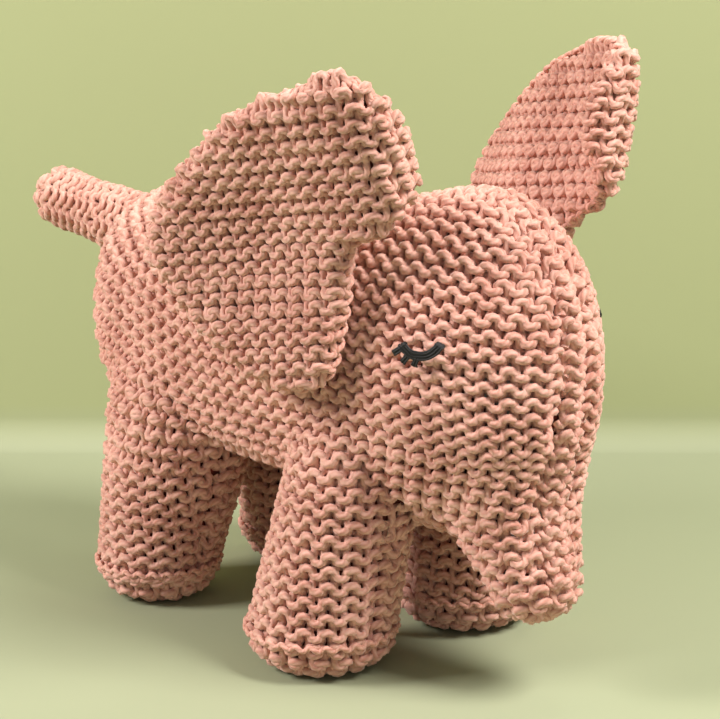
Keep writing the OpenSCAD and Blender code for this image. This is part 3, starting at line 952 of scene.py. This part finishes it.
@dataclass
class Ear:
    """One double knitted ear with its padding and the yarn that sews its edge."""

    side: Side
    needles: Needles
    span: float = 84.0
    tall: float = 113.0
    sweep: float = 70.0
    thick: float = 10.0
    hinge_out: float = 2.5
    left_rim: tuple = ((1, 0.18), (0.94, 0.29), (0.81, 0.39), (0.64, 0.495), (0.43, 0.6), (0.28, 0.645),
                       (0.13, 0.68), (0.02, 0.71), (-0.13, 0.715), (-0.27, 0.68), (-0.35, 0.6), (-0.39, 0.52),
                       (-0.36, 0.44), (-0.27, 0.34), (-0.13, 0.24), (0, 0.17), (0, 0), (0, -0.17), (0.05, -0.24),
                       (0.19, -0.264), (0.39, -0.235), (0.55, -0.195), (0.69, -0.11), (0.85, 0), (0.96, 0.1))
    right_rim: tuple = ((0.963, 0.196), (0.896, 0.291), (0.791, 0.382), (0.69, 0.452), (0.47, 0.586),
                        (0.282, 0.652), (0.12, 0.7), (0.02, 0.73), (-0.1, 0.735), (-0.22, 0.66), (-0.33, 0.57),
                        (-0.37, 0.5), (-0.33, 0.43), (-0.228, 0.37), (-0.1, 0.27), (0.07, 0.205), (0.04, 0.02),
                        (0.02, -0.16), (0.065, -0.21), (0.164, -0.243), (0.377, -0.209), (0.58, -0.12),
                        (0.704, -0.056), (0.826, 0.027), (0.95, 0.111))
    middle: tuple = (0.4, 0.2)
    top: tuple = (41.0, 84.0, 146.0)
    low: tuple = (45.0, 71.5, 105.0)

    @property
    def tag(self) -> str:
        """Side as a name part."""
        return self.side.name.lower()

    @property
    def outline(self) -> tuple:
        """Rim, as parts of the span out from the sewn edge and of the height up from its middle.

        left_rim was listed point by point. right_rim came out of a search against the photo's outline, as did the
        numbers in roll, roll_from, lean, stretch, arch and cup.
        """
        return self.right_rim if self.side is Side.RIGHT else self.left_rim

    def place(self, s: np.ndarray, h: np.ndarray, w: np.ndarray) -> np.ndarray:
        """Point s out along the ear, h up from the hinge's middle and w toward the front face."""
        top, low = np.array(self.top), np.array(self.low)
        half = (top[2] - low[2]) / 2
        mid = (top + low) / 2
        slope = (top - low) / (2 * half)
        c, d = math.cos(math.radians(self.sweep)), math.sin(math.radians(self.sweep))
        up = h - half
        k = np.clip(h, -half, half)
        turn = np.clip(self.roll_from - s, 0, None) / self.roll * smoothstep(h, 18, 34)
        flat = np.maximum(s, self.roll_from) + (np.minimum(s, self.roll_from) - self.roll_from) \
            * (1 - smoothstep(h, 18, 34))
        above = (up + np.sqrt(up * up + 200)) / 2
        q = self.lean * above - self.arch * above * above + self.cup(s, h)
        q = q - self.roll + (self.roll + w) * np.cos(turn)
        s = flat - (self.roll + w) * np.sin(turn)
        return np.stack([self.side.value * (mid[0] + self.hinge_out + k * slope[0] + s * c + q * d),
                         mid[1] + k * slope[1] - s * d + q * c, mid[2] + h + self.stretch * above], axis=-1)

    @property
    def roll(self) -> float:
        """Radius to which the front edge is rolled inward."""
        return 8.4 if self.side is Side.RIGHT else 6.3

    @property
    def roll_from(self) -> float:
        """Distance out from the sewn edge at which the roll begins."""
        return -4.0 if self.side is Side.RIGHT else -11.7

    @property
    def lean(self) -> float:
        """How much the upper part leans out; the left ear flops further."""
        return 0.43 if self.side is Side.RIGHT else 0.5

    @property
    def stretch(self) -> float:
        """How much taller the upper part is than its outline."""
        return -0.07 if self.side is Side.RIGHT else 0.03

    @property
    def arch(self) -> float:
        """How much the lean eases off with height."""
        return 0.0 if self.side is Side.RIGHT else 0.005

    def cup(self, s: np.ndarray, h: np.ndarray) -> np.ndarray:
        """How far the ear's face stands forward of its plane, hollow in the middle."""
        deep = -4.3 if self.side is Side.RIGHT else -8.5
        return deep * np.exp(-((s - 0.42 * self.span) / 26.0) ** 2 - ((h - 26.0) / 30.0) ** 2)

    def half(self, f: np.ndarray, s: np.ndarray, h: np.ndarray) -> np.ndarray:
        """Half thickness at the part f of the way from the middle to the rim, thin along the sewn edge."""
        body = self.thick / 2 * np.sqrt(np.maximum(0, 1 - f ** 16))
        sewn = (1 - smoothstep(s, 0, 12)) * (1 - smoothstep(np.abs(h), 16, 28))
        return body * (1 - 0.5 * sewn)

    def sheet(self, part: float, reach: float, name: str) -> bpy.types.Object:
        """Closed soft sheet of the ear.

        Args:
            part: part of the half thickness.
            reach: part of the way to the rim.
            name: object name.
        """
        rim = catmull(self.outline, 4, True)
        m = len(rim)
        levels = np.sin(np.linspace(0, np.pi / 2, 13))[1:]
        mid = np.array(self.middle)
        scale = np.array([self.span, self.tall])
        front, back = [], []
        for f in levels:
            spot = (mid + f * reach * (rim - mid)) * scale
            w = part * self.half(np.full(m, f * 0.999), spot[:, 0], spot[:, 1])
            front.append(self.place(spot[:, 0], spot[:, 1], w))
            back.append(self.place(spot[:, 0], spot[:, 1], -w))
        hub = mid * scale
        w = part * self.thick / 2
        tops = [self.place(hub[0], hub[1], w), self.place(hub[0], hub[1], -w)]
        verts = np.concatenate(front + back + [np.array(tops)])
        n = len(levels)
        faces = []
        hub_front, hub_back = 2 * n * m, 2 * n * m + 1
        for k in range(m):
            q = (k + 1) % m
            faces.append((hub_front, k, q))
            faces.append((hub_back, n * m + q, n * m + k))
            for r in range(n - 1):
                a, b = r * m, (r + 1) * m
                faces.append((a + k, b + k, b + q, a + q))
                faces.append((n * m + a + q, n * m + b + q, n * m + b + k, n * m + a + k))
            e = (n - 1) * m
            faces.append((e + k, n * m + e + k, n * m + e + q, e + q))
        return new_object(name, to_frame(verts), faces)

    def build(self) -> list:
        """Knits the ear round its padding and sews its rim."""
        core = melted("ear_core", [self.sheet(0.66, 0.97, "ear_core")], 0.0017, 2)
        surface = Surface.of_object(core)
        bpy.data.objects.remove(core)
        v = surface.verts
        values = v[:, 2] - 0.16 * v[:, 1]
        knit = Skein(f"knit_ear_{self.tag}")
        for k, level in enumerate(np.arange(values.min() + 1.6, values.max() - 0.8, self.needles.gauge.row)):
            for points, normals in surface.contours(values, level):
                path = Path(points, normals, True).resampled(0.9)
                outer = path.normals[:-1, 0] * self.side.value
                index = int(np.argmin(np.abs(path.points[:-1, 1] - 60.0) - 40 * outer))
                along = unit(np.roll(path.points[:-1], -1, axis=0) - np.roll(path.points[:-1], 1, axis=0))
                up = unit(np.cross(path.normals[:-1], along))
                up = np.vstack([up, up[:1]])
                if np.mean(up[:, 2]) < 0:
                    up = -up
                self.needles.row(knit, path, up, k % 2, float(path.arc[index]))
        lining = melted(f"lining_ear_{self.tag}", [self.sheet(0.36, 0.94, "ear_lining")], 0.002, 2)
        smooth_faces(lining)
        return [knit.finish(), lining, self.seam()]

    def seam(self) -> bpy.types.Object:
        """Yarn that joins the two layers along the rim."""
        rim = catmull(self.outline, 6, True)
        mid = np.array(self.middle)
        scale = np.array([self.span, self.tall])
        spot = (mid + 0.955 * (rim - mid)) * scale
        zero = np.zeros(len(spot))
        line = self.place(spot[:, 0], spot[:, 1], zero)
        front = unit(self.place(spot[:, 0], spot[:, 1], zero + 1.0) - line)
        path = Path(line, front, True).resampled(1.0)
        count = round(path.length / 5.2)
        t = np.linspace(0, 2 * np.pi, count * 10, endpoint=False)
        u = path.length * np.arange(len(t)) / len(t)
        p, n = path.at(u, path.points), unit(path.at(u, path.normals))
        along = unit(np.roll(p, -1, axis=0) - np.roll(p, 1, axis=0))
        out = unit(np.cross(along, n))
        hub = self.place(np.array([mid[0] * scale[0]]), np.array([mid[1] * scale[1]]), np.zeros(1))[0]
        if float(np.mean(np.sum(out * (p - hub), axis=1))) < 0:
            out = -out
        phase = t * count
        centre = p + out * (0.9 + 0.5 * np.cos(phase))[:, None] + n * (1.5 * np.sin(phase) - 1.6)[:, None]
        skein = Skein(f"seam_ear_{self.tag}")
        skein.add(centre, n, 0.9, 6, True)
        return skein.finish()


# ---- tail -----------------------------------------------------------------------------------------


@dataclass
class Tail:
    """Knitted sausage tail in rounds."""

    needles: Needles
    radius: float = 12.4
    inset: float = 2.3
    pivot: tuple = (-94.0, 124.0)
    length: float = 60.5
    rise: float = 6.0

    def build(self) -> list:
        """Knits the tail round its padding."""
        a = math.radians(self.rise)
        along = np.array([0.0, -math.cos(a), math.sin(a)])
        across = np.array([1.0, 0.0, 0.0])
        top = np.cross(along, across)
        start = np.array([0.0, *self.pivot])
        r0, r1 = self.radius - self.inset, self.radius * 0.94 - self.inset
        skein = Skein("knit_tail")
        end = self.length + r1 * math.pi / 2
        row = 2.62
        count = int((end + 6) / row)
        for k in range(count):
            s = -6 + row * k
            if s < self.length:
                f = smoothstep(np.array([s]), 0, self.length)[0]
                r, z, bend = r0 + (r1 - r0) * f + 0.5 * math.sin(s / 9.0), s, 0.0
                if s < 0:
                    r = math.sqrt(r0 * r0 - s * s)
            else:
                bend = (s - self.length) / r1
                r, z = r1 * math.cos(bend), self.length + r1 * math.sin(bend)
            if r < 2.6:
                break
            t = np.arange(60) * 2 * np.pi / 60
            radial = np.cos(t)[:, None] * across + np.sin(t)[:, None] * top
            points = start + along * z + radial * r
            normals = unit(radial * math.cos(bend) + along * math.sin(bend))
            up = unit(along * math.cos(bend) - radial * math.sin(bend))
            path = Path(points, normals, True)
            up = np.vstack([up, up[:1]])
            self.needles.row(skein, path, up, k % 2, 0.0, scale=0.92)
        return [skein.finish(), self.lining(start, along, across, top, r0 - 1.6, r1 - 1.6), self.seam(start)]

    def lining(self, start: np.ndarray, along: np.ndarray, across: np.ndarray, top: np.ndarray, r0: float,
               r1: float) -> bpy.types.Object:
        """Padded cloth tube in the tail."""
        t = np.arange(32) * 2 * np.pi / 32
        rings = []
        stations = [(r0 * math.sin(g) * -1, r0 * math.cos(g)) for g in np.linspace(1.4, 0.0, 6)]
        stations += [(s, r0 + (r1 - r0) * s / self.length) for s in np.linspace(8, self.length, 8)]
        stations += [(self.length + r1 * math.sin(g), r1 * math.cos(g)) for g in np.linspace(0.25, 1.45, 6)]
        for s, r in stations:
            radial = np.cos(t)[:, None] * across + np.sin(t)[:, None] * top
            rings.append(start + along * s + radial * r)
        verts, faces = ring_loft(np.array(rings))
        obj = new_object("lining_tail", to_frame(verts), faces)
        smooth_faces(obj)
        return obj

    def seam(self, start: np.ndarray) -> bpy.types.Object:
        """Stitches round the root of the tail."""
        skein = Skein("seam_tail")
        count = 11
        t = np.arange(count * 10) * 2 * np.pi / (count * 10)
        radial = np.stack([np.cos(t), np.zeros_like(t), np.sin(t)], axis=1)
        out = np.array([0.0, -1.0, 0.0])
        phase = t * count
        centre = start + radial * (self.radius + 1.7 + 0.2 * np.cos(phase))[:, None] \
            + out[None] * (-3.2 + 1.4 * np.sin(phase))[:, None]
        skein.add(centre, radial, 0.8, 6, True)
        return skein.finish()


# ---- eyes and sole seams --------------------------------------------------------------------------


@dataclass
class Eye:
    """Closed eye in black floss."""

    side: Side
    at: tuple = (37.8, 100.9, 117.8)
    turn: float = 29.0
    lift: float = 2.0
    lid: tuple = ((6.6, 2.6), (5.4, 1.0), (3.4, -0.6), (0.6, -1.4), (-2.6, -1.0), (-5.0, 0.8), (-5.8, 1.8))
    lashes: tuple = (((-5.4, 1.0), (-7.0, -0.2), (-8.8, -1.4)), ((-3.4, -1.0), (-4.5, -2.6), (-5.8, -4.2)),
                     ((-0.6, -1.4), (-1.2, -3.2), (-1.9, -5.0)))

    def build(self) -> bpy.types.Object:
        """Embroiders the lid and the lashes."""
        skein = Skein(f"eye_floss_{self.side.name.lower()}")
        rng = np.random.default_rng(11)
        for path, strands in [(self.lid, 6)] + [(p, 4) for p in self.lashes]:
            line = catmull(path, 5, False)
            for k in range(strands):
                off = (k - (strands - 1) / 2) * 0.46
                drift = line + rng.normal(0, 0.05, line.shape)
                self.strand(skein, drift, off, 0.15 * (k % 2))
        return skein.finish()

    def strand(self, skein: Skein, line: np.ndarray, off: float, rise: float) -> None:
        """One strand beside the middle of a stroke."""
        a = math.radians(self.turn)
        along = unit(np.gradient(line, axis=0))
        flat = line + np.stack([-along[:, 1], along[:, 0]], axis=1) * off
        edge = np.minimum(np.arange(len(line)), np.arange(len(line))[::-1])
        out = self.lift + rise - 1.6 * np.clip(1 - edge / 2.0, 0, 1)
        s = self.side.value
        points = np.stack([s * (self.at[0] - flat[:, 0] * math.sin(a) + out * math.cos(a)),
                           self.at[1] + flat[:, 0] * math.cos(a) + out * math.sin(a),
                           self.at[2] + flat[:, 1]], axis=1)
        normal = np.tile([s * math.cos(a), math.sin(a), 0.0], (len(points), 1))
        skein.add(points, normal, 0.36, 6, False)


@dataclass
class SoleSeam:
    """Yarn that closes a sole against its leg."""

    side: Side
    front: bool
    track: float = 66.4
    wheelbase: float = 93.8

    def build(self) -> bpy.types.Object:
        """Sews round the foot."""
        name = f"seam_sole_{'front' if self.front else 'hind'}_{self.side.name.lower()}"
        reach = self.wheelbase / 2 * (1 if self.front else -1)
        r = (25.5 if self.front else 22.5) + 0.1
        count = round(2 * math.pi * r / 5.0)
        t = np.arange(count * 10) * 2 * np.pi / (count * 10)
        phase = t * count
        radial = np.stack([np.cos(t), np.sin(t), np.zeros_like(t)], axis=1)
        middle = np.array([self.side.value * self.track / 2, reach, 13.2])
        centre = middle + radial * (r + 0.3 * np.cos(phase))[:, None]
        centre[:, 2] += 0.7 * np.sin(phase)
        skein = Skein(name)
        skein.add(centre, radial, 0.95, 6, True)
        return skein.finish()


# ---- finishes -------------------------------------------------------------------------------------


def linear(code: str) -> tuple:
    """Scene-linear colour of an sRGB hex code."""
    values = [int(code[i:i + 2], 16) / 255 for i in (0, 2, 4)]
    return tuple(v / 12.92 if v <= 0.04045 else ((v + 0.055) / 1.055) ** 2.4 for v in values) + (1.0,)


@dataclass
class Tree:
    """Short way of adding nodes to a material."""

    material: bpy.types.Material

    def add(self, kind: str, **values) -> bpy.types.Node:
        """Adds a node; values set its properties, or its inputs by index when named i0, i1 and so on."""
        node = self.material.node_tree.nodes.new(kind)
        for key, value in values.items():
            if key[0] == "i" and key[1:].isdigit():
                node.inputs[int(key[1:])].default_value = value
            else:
                setattr(node, key, value)
        return node

    def link(self, a: bpy.types.NodeSocket, b: bpy.types.NodeSocket) -> None:
        """Joins two sockets."""
        self.material.node_tree.links.new(a, b)


def fresh(name: str) -> tuple:
    """A new material, its tree helper and its shader."""
    mat = bpy.data.materials.new(name)
    mat.use_nodes = True
    return mat, Tree(mat), mat.node_tree.nodes["Principled BSDF"]


@dataclass(frozen=True)
class CottonYarn:
    """Plied matte cotton yarn."""

    name: str
    light: str
    dark: str
    ply_mm: float = 3.2
    plies: int = 4
    bump: float = 0.35
    sheen: float = 0.35

    def make(self) -> bpy.types.Material:
        """Builds the material."""
        mat, tree, shader = fresh(self.name)
        shader.inputs["Roughness"].default_value = 0.86
        shader.inputs["Sheen Weight"].default_value = self.sheen
        shader.inputs["Sheen Roughness"].default_value = 0.5
        shader.inputs["Sheen Tint"].default_value = linear("fff0e4")
        shader.inputs["Specular IOR Level"].default_value = 0.2
        shader.inputs["Subsurface Weight"].default_value = 0.06
        shader.inputs["Subsurface Radius"].default_value = (1.0, 0.45, 0.3)
        shader.inputs["Subsurface Scale"].default_value = 0.0015
        place = tree.add("ShaderNodeTexCoord")
        uv = tree.add("ShaderNodeUVMap", uv_map="Ply")
        split = tree.add("ShaderNodeSeparateXYZ")
        tree.link(uv.outputs[0], split.inputs[0])
        run = tree.add("ShaderNodeMath", operation="MULTIPLY", i1=2 * math.pi * 10 / self.ply_mm)
        tree.link(split.outputs[0], run.inputs[0])
        turn = tree.add("ShaderNodeMath", operation="MULTIPLY", i1=2 * math.pi * self.plies)
        tree.link(split.outputs[1], turn.inputs[0])
        both = tree.add("ShaderNodeMath", operation="ADD")
        tree.link(run.outputs[0], both.inputs[0])
        tree.link(turn.outputs[0], both.inputs[1])
        wave = tree.add("ShaderNodeMath", operation="SINE")
        tree.link(both.outputs[0], wave.inputs[0])
        fibre = tree.add("ShaderNodeTexNoise")
        fibre.inputs["Scale"].default_value = 1400.0
        fibre.inputs["Detail"].default_value = 3.0
        tree.link(place.outputs["Object"], fibre.inputs["Vector"])
        patch = tree.add("ShaderNodeTexNoise")
        patch.inputs["Scale"].default_value = 55.0
        patch.inputs["Detail"].default_value = 2.0
        tree.link(place.outputs["Object"], patch.inputs["Vector"])
        shade = tree.add("ShaderNodeMath", operation="MULTIPLY_ADD", i1=0.16, i2=0.1)
        tree.link(wave.outputs[0], shade.inputs[0])
        sum1 = tree.add("ShaderNodeMath", operation="ADD")
        tree.link(shade.outputs[0], sum1.inputs[0])
        tree.link(patch.outputs["Fac"], sum1.inputs[1])
        sum2 = tree.add("ShaderNodeMath", operation="MULTIPLY_ADD", i1=0.35)
        tree.link(fibre.outputs["Fac"], sum2.inputs[0])
        tree.link(sum1.outputs[0], sum2.inputs[2])
        ramp = tree.add("ShaderNodeValToRGB")
        ramp.color_ramp.elements[0].position = 0.45
        ramp.color_ramp.elements[0].color = linear(self.dark)
        ramp.color_ramp.elements[1].position = 1.05
        ramp.color_ramp.elements[1].color = linear(self.light)
        tree.link(sum2.outputs[0], ramp.inputs[0])
        tree.link(ramp.outputs[0], shader.inputs["Base Color"])
        high = tree.add("ShaderNodeMath", operation="MULTIPLY_ADD", i1=0.5)
        tree.link(wave.outputs[0], high.inputs[0])
        tree.link(fibre.outputs["Fac"], high.inputs[2])
        bump = tree.add("ShaderNodeBump")
        bump.inputs["Strength"].default_value = self.bump
        bump.inputs["Distance"].default_value = 0.0004
        tree.link(high.outputs[0], bump.inputs["Height"])
        tree.link(bump.outputs[0], shader.inputs["Normal"])
        return mat


@dataclass(frozen=True)
class WovenCloth:
    """Plain woven cotton."""

    name: str
    light: str
    dark: str
    thread_mm: float = 0.5

    def make(self) -> bpy.types.Material:
        """Builds the material."""
        mat, tree, shader = fresh(self.name)
        shader.inputs["Roughness"].default_value = 0.95
        place = tree.add("ShaderNodeTexCoord")
        waves = []
        for axis in ("X", "Z"):
            wave = tree.add("ShaderNodeTexWave", bands_direction=axis)
            wave.inputs["Scale"].default_value = 1000.0 / (self.thread_mm * 20)
            wave.inputs["Distortion"].default_value = 0.4
            tree.link(place.outputs["Object"], wave.inputs["Vector"])
            waves.append(wave)
        mix = tree.add("ShaderNodeMath", operation="MULTIPLY")
        tree.link(waves[0].outputs["Fac"], mix.inputs[0])
        tree.link(waves[1].outputs["Fac"], mix.inputs[1])
        ramp = tree.add("ShaderNodeValToRGB")
        ramp.color_ramp.elements[0].color = linear(self.dark)
        ramp.color_ramp.elements[1].color = linear(self.light)
        tree.link(mix.outputs[0], ramp.inputs[0])
        tree.link(ramp.outputs[0], shader.inputs["Base Color"])
        bump = tree.add("ShaderNodeBump")
        bump.inputs["Strength"].default_value = 0.2
        bump.inputs["Distance"].default_value = 0.0002
        tree.link(mix.outputs[0], bump.inputs["Height"])
        tree.link(bump.outputs[0], shader.inputs["Normal"])
        return mat


@dataclass(frozen=True)
class Fibre:
    """Noise-mottled soft material, for fibre filling and floss."""

    name: str
    light: str
    dark: str
    scale: float
    roughness: float
    bump_mm: float
    sheen: float = 0.0

    def make(self) -> bpy.types.Material:
        """Builds the material."""
        mat, tree, shader = fresh(self.name)
        shader.inputs["Roughness"].default_value = self.roughness
        shader.inputs["Sheen Weight"].default_value = self.sheen
        place = tree.add("ShaderNodeTexCoord")
        noise = tree.add("ShaderNodeTexNoise")
        noise.inputs["Scale"].default_value = self.scale
        noise.inputs["Detail"].default_value = 6.0
        tree.link(place.outputs["Object"], noise.inputs["Vector"])
        ramp = tree.add("ShaderNodeValToRGB")
        ramp.color_ramp.elements[0].position = 0.35
        ramp.color_ramp.elements[0].color = linear(self.dark)
        ramp.color_ramp.elements[1].position = 0.65
        ramp.color_ramp.elements[1].color = linear(self.light)
        tree.link(noise.outputs["Fac"], ramp.inputs[0])
        tree.link(ramp.outputs[0], shader.inputs["Base Color"])
        bump = tree.add("ShaderNodeBump")
        bump.inputs["Strength"].default_value = 0.4
        bump.inputs["Distance"].default_value = self.bump_mm * MM
        tree.link(noise.outputs["Fac"], bump.inputs["Height"])
        tree.link(bump.outputs[0], shader.inputs["Normal"])
        return mat


@dataclass(frozen=True)
class Paper:
    """Matte paper that is lighter where it lies flat. The change of tint with height is painted light: the flat
    and upright parts of one paper are tinted as each is lit.
    """

    name: str
    low: str
    high: str

    def make(self) -> bpy.types.Material:
        """Builds the material."""
        mat, tree, shader = fresh(self.name)
        shader.inputs["Roughness"].default_value = 0.85
        shader.inputs["Specular IOR Level"].default_value = 0.15
        place = tree.add("ShaderNodeTexCoord")
        split = tree.add("ShaderNodeSeparateXYZ")
        tree.link(place.outputs["Object"], split.inputs[0])
        grain = tree.add("ShaderNodeTexNoise")
        grain.inputs["Scale"].default_value = 300.0
        tree.link(place.outputs["Object"], grain.inputs["Vector"])
        # Painted light: over the first 20 mm of height the tint moves from the floor's to the wall's.
        rise = tree.add("ShaderNodeMapRange")
        rise.inputs["From Max"].default_value = 0.02
        tree.link(split.outputs[2], rise.inputs["Value"])
        both = tree.add("ShaderNodeMath", operation="MULTIPLY_ADD", i1=0.06)
        tree.link(grain.outputs["Fac"], both.inputs[0])
        tree.link(rise.outputs[0], both.inputs[2])
        ramp = tree.add("ShaderNodeValToRGB")
        ramp.color_ramp.elements[0].color = linear(self.low)
        ramp.color_ramp.elements[1].color = linear(self.high)
        tree.link(both.outputs[0], ramp.inputs[0])
        tree.link(ramp.outputs[0], shader.inputs["Base Color"])
        return mat


def dress(obj: bpy.types.Object, mat: bpy.types.Material) -> None:
    """Gives obj one material."""
    obj.data.materials.clear()
    obj.data.materials.append(mat)


# ---- stage ----------------------------------------------------------------------------------------


@dataclass
class Studio:
    """Paper sweep, soft lights, sky and camera."""

    wall: float = 0.20
    curve: float = 0.014
    # Floor and wall are one paper; their two tints are painted light, for how each part is lit.
    floor_painted_light_tint: str = "9aa082"
    wall_painted_light_tint: str = "9ba176"
    ambient: float = 0.32
    paper_half: float = 3.0
    lamps: tuple = (("key", (-0.72, 0.30, 0.55), 0.30, 9.5, "fff8f8"),
                    ("rim", (0.16, -0.62, 0.80), 0.35, 13.5, "fffaf8"),
                    ("back", (0.35, 0.10, 0.75), 0.3, 4.5, "fff6f8"),
                    ("fill", (-0.7, -1.2, 0.5), 0.9, 0.9, "fffaf8"))

    def build(self) -> None:
        """Sets the stage."""
        self.sweep()
        self.world()
        for lamp in self.lamps:
            self.lamp(*lamp)
        self.camera()

    def sweep(self) -> None:
        """Paper that lies flat under the toy and curves up into a wall close behind it."""
        away = np.array([0.6513, 0.7588])
        across = np.array([away[1], -away[0]])
        bend = [(-self.paper_half, 0.0), (self.wall - self.curve, 0.0)]
        bend += [(self.wall - self.curve + self.curve * math.sin(a), self.curve * (1 - math.cos(a)))
                 for a in np.linspace(0.1, math.pi / 2, 16)]
        bend += [(self.wall, 3.0)]
        edges = (-self.paper_half, self.paper_half)
        rows = np.array([[[*(away * out + across * wide), up - 0.0005] for wide in edges] for out, up in bend])
        mesh = bpy.data.meshes.new("paper_sweep")
        faces = [(2 * i, 2 * i + 1, 2 * i + 3, 2 * i + 2) for i in range(len(rows) - 1)]
        mesh.from_pydata([tuple(v) for v in rows.reshape(-1, 3)], [], faces)
        mesh.update()
        paper = bpy.data.objects.new("paper_sweep", mesh)
        bpy.context.scene.collection.objects.link(paper)
        smooth_faces(paper)
        dress(paper, Paper("sage_paper", self.floor_painted_light_tint, self.wall_painted_light_tint).make())

    def world(self) -> None:
        """Soft even light from all round."""
        world = bpy.data.worlds.new("soft_room")
        bpy.context.scene.world = world
        world.use_nodes = True
        back = world.node_tree.nodes["Background"]
        back.inputs[0].default_value = linear("f0f2f0")
        back.inputs[1].default_value = self.ambient

    def lamp(self, name: str, place: tuple, size: float, power: float, tint: str) -> None:
        """One square soft light aimed at the toy."""
        data = bpy.data.lights.new(name, "AREA")
        data.energy = power
        data.size = size
        data.color = linear(tint)[:3]
        obj = bpy.data.objects.new(name, data)
        obj.location = place
        aim = Vector((0.0, 0.0, 0.1)) - Vector(place)
        obj.rotation_euler = aim.to_track_quat("-Z", "Y").to_euler()
        bpy.context.scene.collection.objects.link(obj)

    def camera(self) -> None:
        """Camera at the toy's right front."""
        data = bpy.data.cameras.new("camera")
        data.sensor_width = 36.0
        data.lens = 110.0
        data.clip_start = 0.05
        obj = bpy.data.objects.new("camera", data)
        obj.location = (-0.479885, -0.605525, 0.270662)
        obj.rotation_euler = (math.radians(90 - 13.34005), 0.0, math.radians(-40.64157))
        bpy.context.scene.collection.objects.link(obj)
        bpy.context.scene.camera = obj
        bpy.context.scene.view_settings.view_transform = "Standard"


# ---- assembly -------------------------------------------------------------------------------------


@dataclass
class Elephant:
    """The whole toy and its place in the frame."""

    gauge: Gauge = field(default_factory=Gauge)
    fine: Gauge = Gauge(stitch=6.3, row=2.36, height=4.7, depth=1.4, radius=1.27)

    def build(self) -> None:
        """Builds, dresses and hangs every piece."""
        yarn = CottonYarn("blush_cotton_yarn", "dcaa99", "ba806f").make()
        thread = CottonYarn("blush_sewing_yarn", "e0ab9a", "c0826f", ply_mm=2.4, plies=3).make()
        # The lining cloth is much darker than the yarn: painted shade for the gaps between stitches, on top of the
        # lining's own rose colour.
        cloth = WovenCloth("rose_lining_cotton", "8a4437", "6b3026").make()
        filling = Fibre("polyester_fibre_filling", "f7f4ee", "e4dfd4", 260.0, 0.9, 1.2, 0.2).make()
        floss = Fibre("black_cotton_floss", "0d0b0a", "040303", 2200.0, 0.6, 0.05).make()
        for o in KnitBody(BodyForm(), Needles(self.gauge)).build():
            dress(o, yarn)
            self.hang(o)
        for o in Lining().build():
            dress(o, cloth)
            self.flex(o)
            if o.name == "lining_body":
                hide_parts("lining_bag")
        self.ears(yarn, cloth, thread)
        self.tail(yarn, cloth, thread)
        for side in Side:
            eye = (Eye(side) if side is Side.RIGHT else Eye(side, at=LEFT_EYE)).build()
            dress(eye, floss)
            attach(eye, "body")
            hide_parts(f"eye_{side.name.lower()}")
            for front in (True, False):
                seam = SoleSeam(side, front).build()
                dress(seam, thread)
                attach(seam, "body")
                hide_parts(seam.name.replace("seam_sole", "sole_yarn"))
        for name in ("body_stuffing", "trunk_stuffing", "tail_stuffing"):
            dress(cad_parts[name], filling)

    def hang(self, o: bpy.types.Object) -> None:
        """Joins a knitted panel of the body to its body, or bakes a crossing panel in place without a parent, and
        hides the CAD nodes it replaces.
        """
        nodes = {
            "knit_flank_right": ["side_panel_right"], "knit_flank_left": ["side_panel_left"],
            "knit_top_gusset": ["top_gusset"], "knit_belly": ["belly_gusset"], "knit_trunk": ["trunk_skin"],
            "knit_trunk_tip": ["trunk_tip_cap"], "knit_sole_front_right": ["sole_front_right"],
            "knit_sole_front_left": ["sole_front_left"], "knit_sole_hind_right": ["sole_hind_right"],
            "knit_sole_hind_left": ["sole_hind_left"]}
        crossing = ("knit_flank", "knit_shoulder", "knit_top", "knit_under", "knit_belly")
        if o.name.startswith("knit_trunk"):
            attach(o, "trunk")
        elif o.name.startswith(crossing):
            self.flex(o)
        else:
            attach(o, "body")
        if o.name in nodes:
            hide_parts(*nodes[o.name])

    def flex(self, o: bpy.types.Object) -> None:
        """Bakes into its mesh the place of a piece that runs from the head into the trunk; it does not bend the
        piece between them.

        Known fault: lining_body takes this too, and its front legs swing out of the knit when the trunk lifts.
        """
        ends = to_frame(np.array([FLEX_FROM, FLEX_TO]))
        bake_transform(o)

    def ears(self, yarn: bpy.types.Material, cloth: bpy.types.Material, thread: bpy.types.Material) -> None:
        """Both ears."""
        for side in Side:
            tag = side.name.lower()
            knit, lining, seam = Ear(side, Needles(self.fine, 9)).build()
            for o, mat, slot, nodes in ((knit, yarn, "knit", ("front_panel", "back_panel")),
                                        (lining, cloth, "lining", ("padding",)),
                                        (seam, thread, "seam_yarn", ("edge_yarn",))):
                dress(o, mat)
                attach(o, f"ear_{tag}")
                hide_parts(*[f"ear_{tag}_{node}" for node in nodes])

    def tail(self, yarn: bpy.types.Material, cloth: bpy.types.Material, thread: bpy.types.Material) -> None:
        """Tail and its seam."""
        knit, lining, seam = Tail(Needles(self.gauge, 13)).build()
        for o, mat, slot, body, node in ((knit, yarn, "knit", "tail", "tail_skin"),
                                         (lining, cloth, "lining", "tail", None),
                                         (seam, thread, "seam_yarn", "tail_seam", "tail_seam_yarn")):
            dress(o, mat)
            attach(o, body)
            if node:
                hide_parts(node)


def main() -> None:
    """Builds the scene."""
    logging.basicConfig(level=logging.INFO)
    Elephant().build()
    Studio().build()


if __name__ == "__main__":
    main()
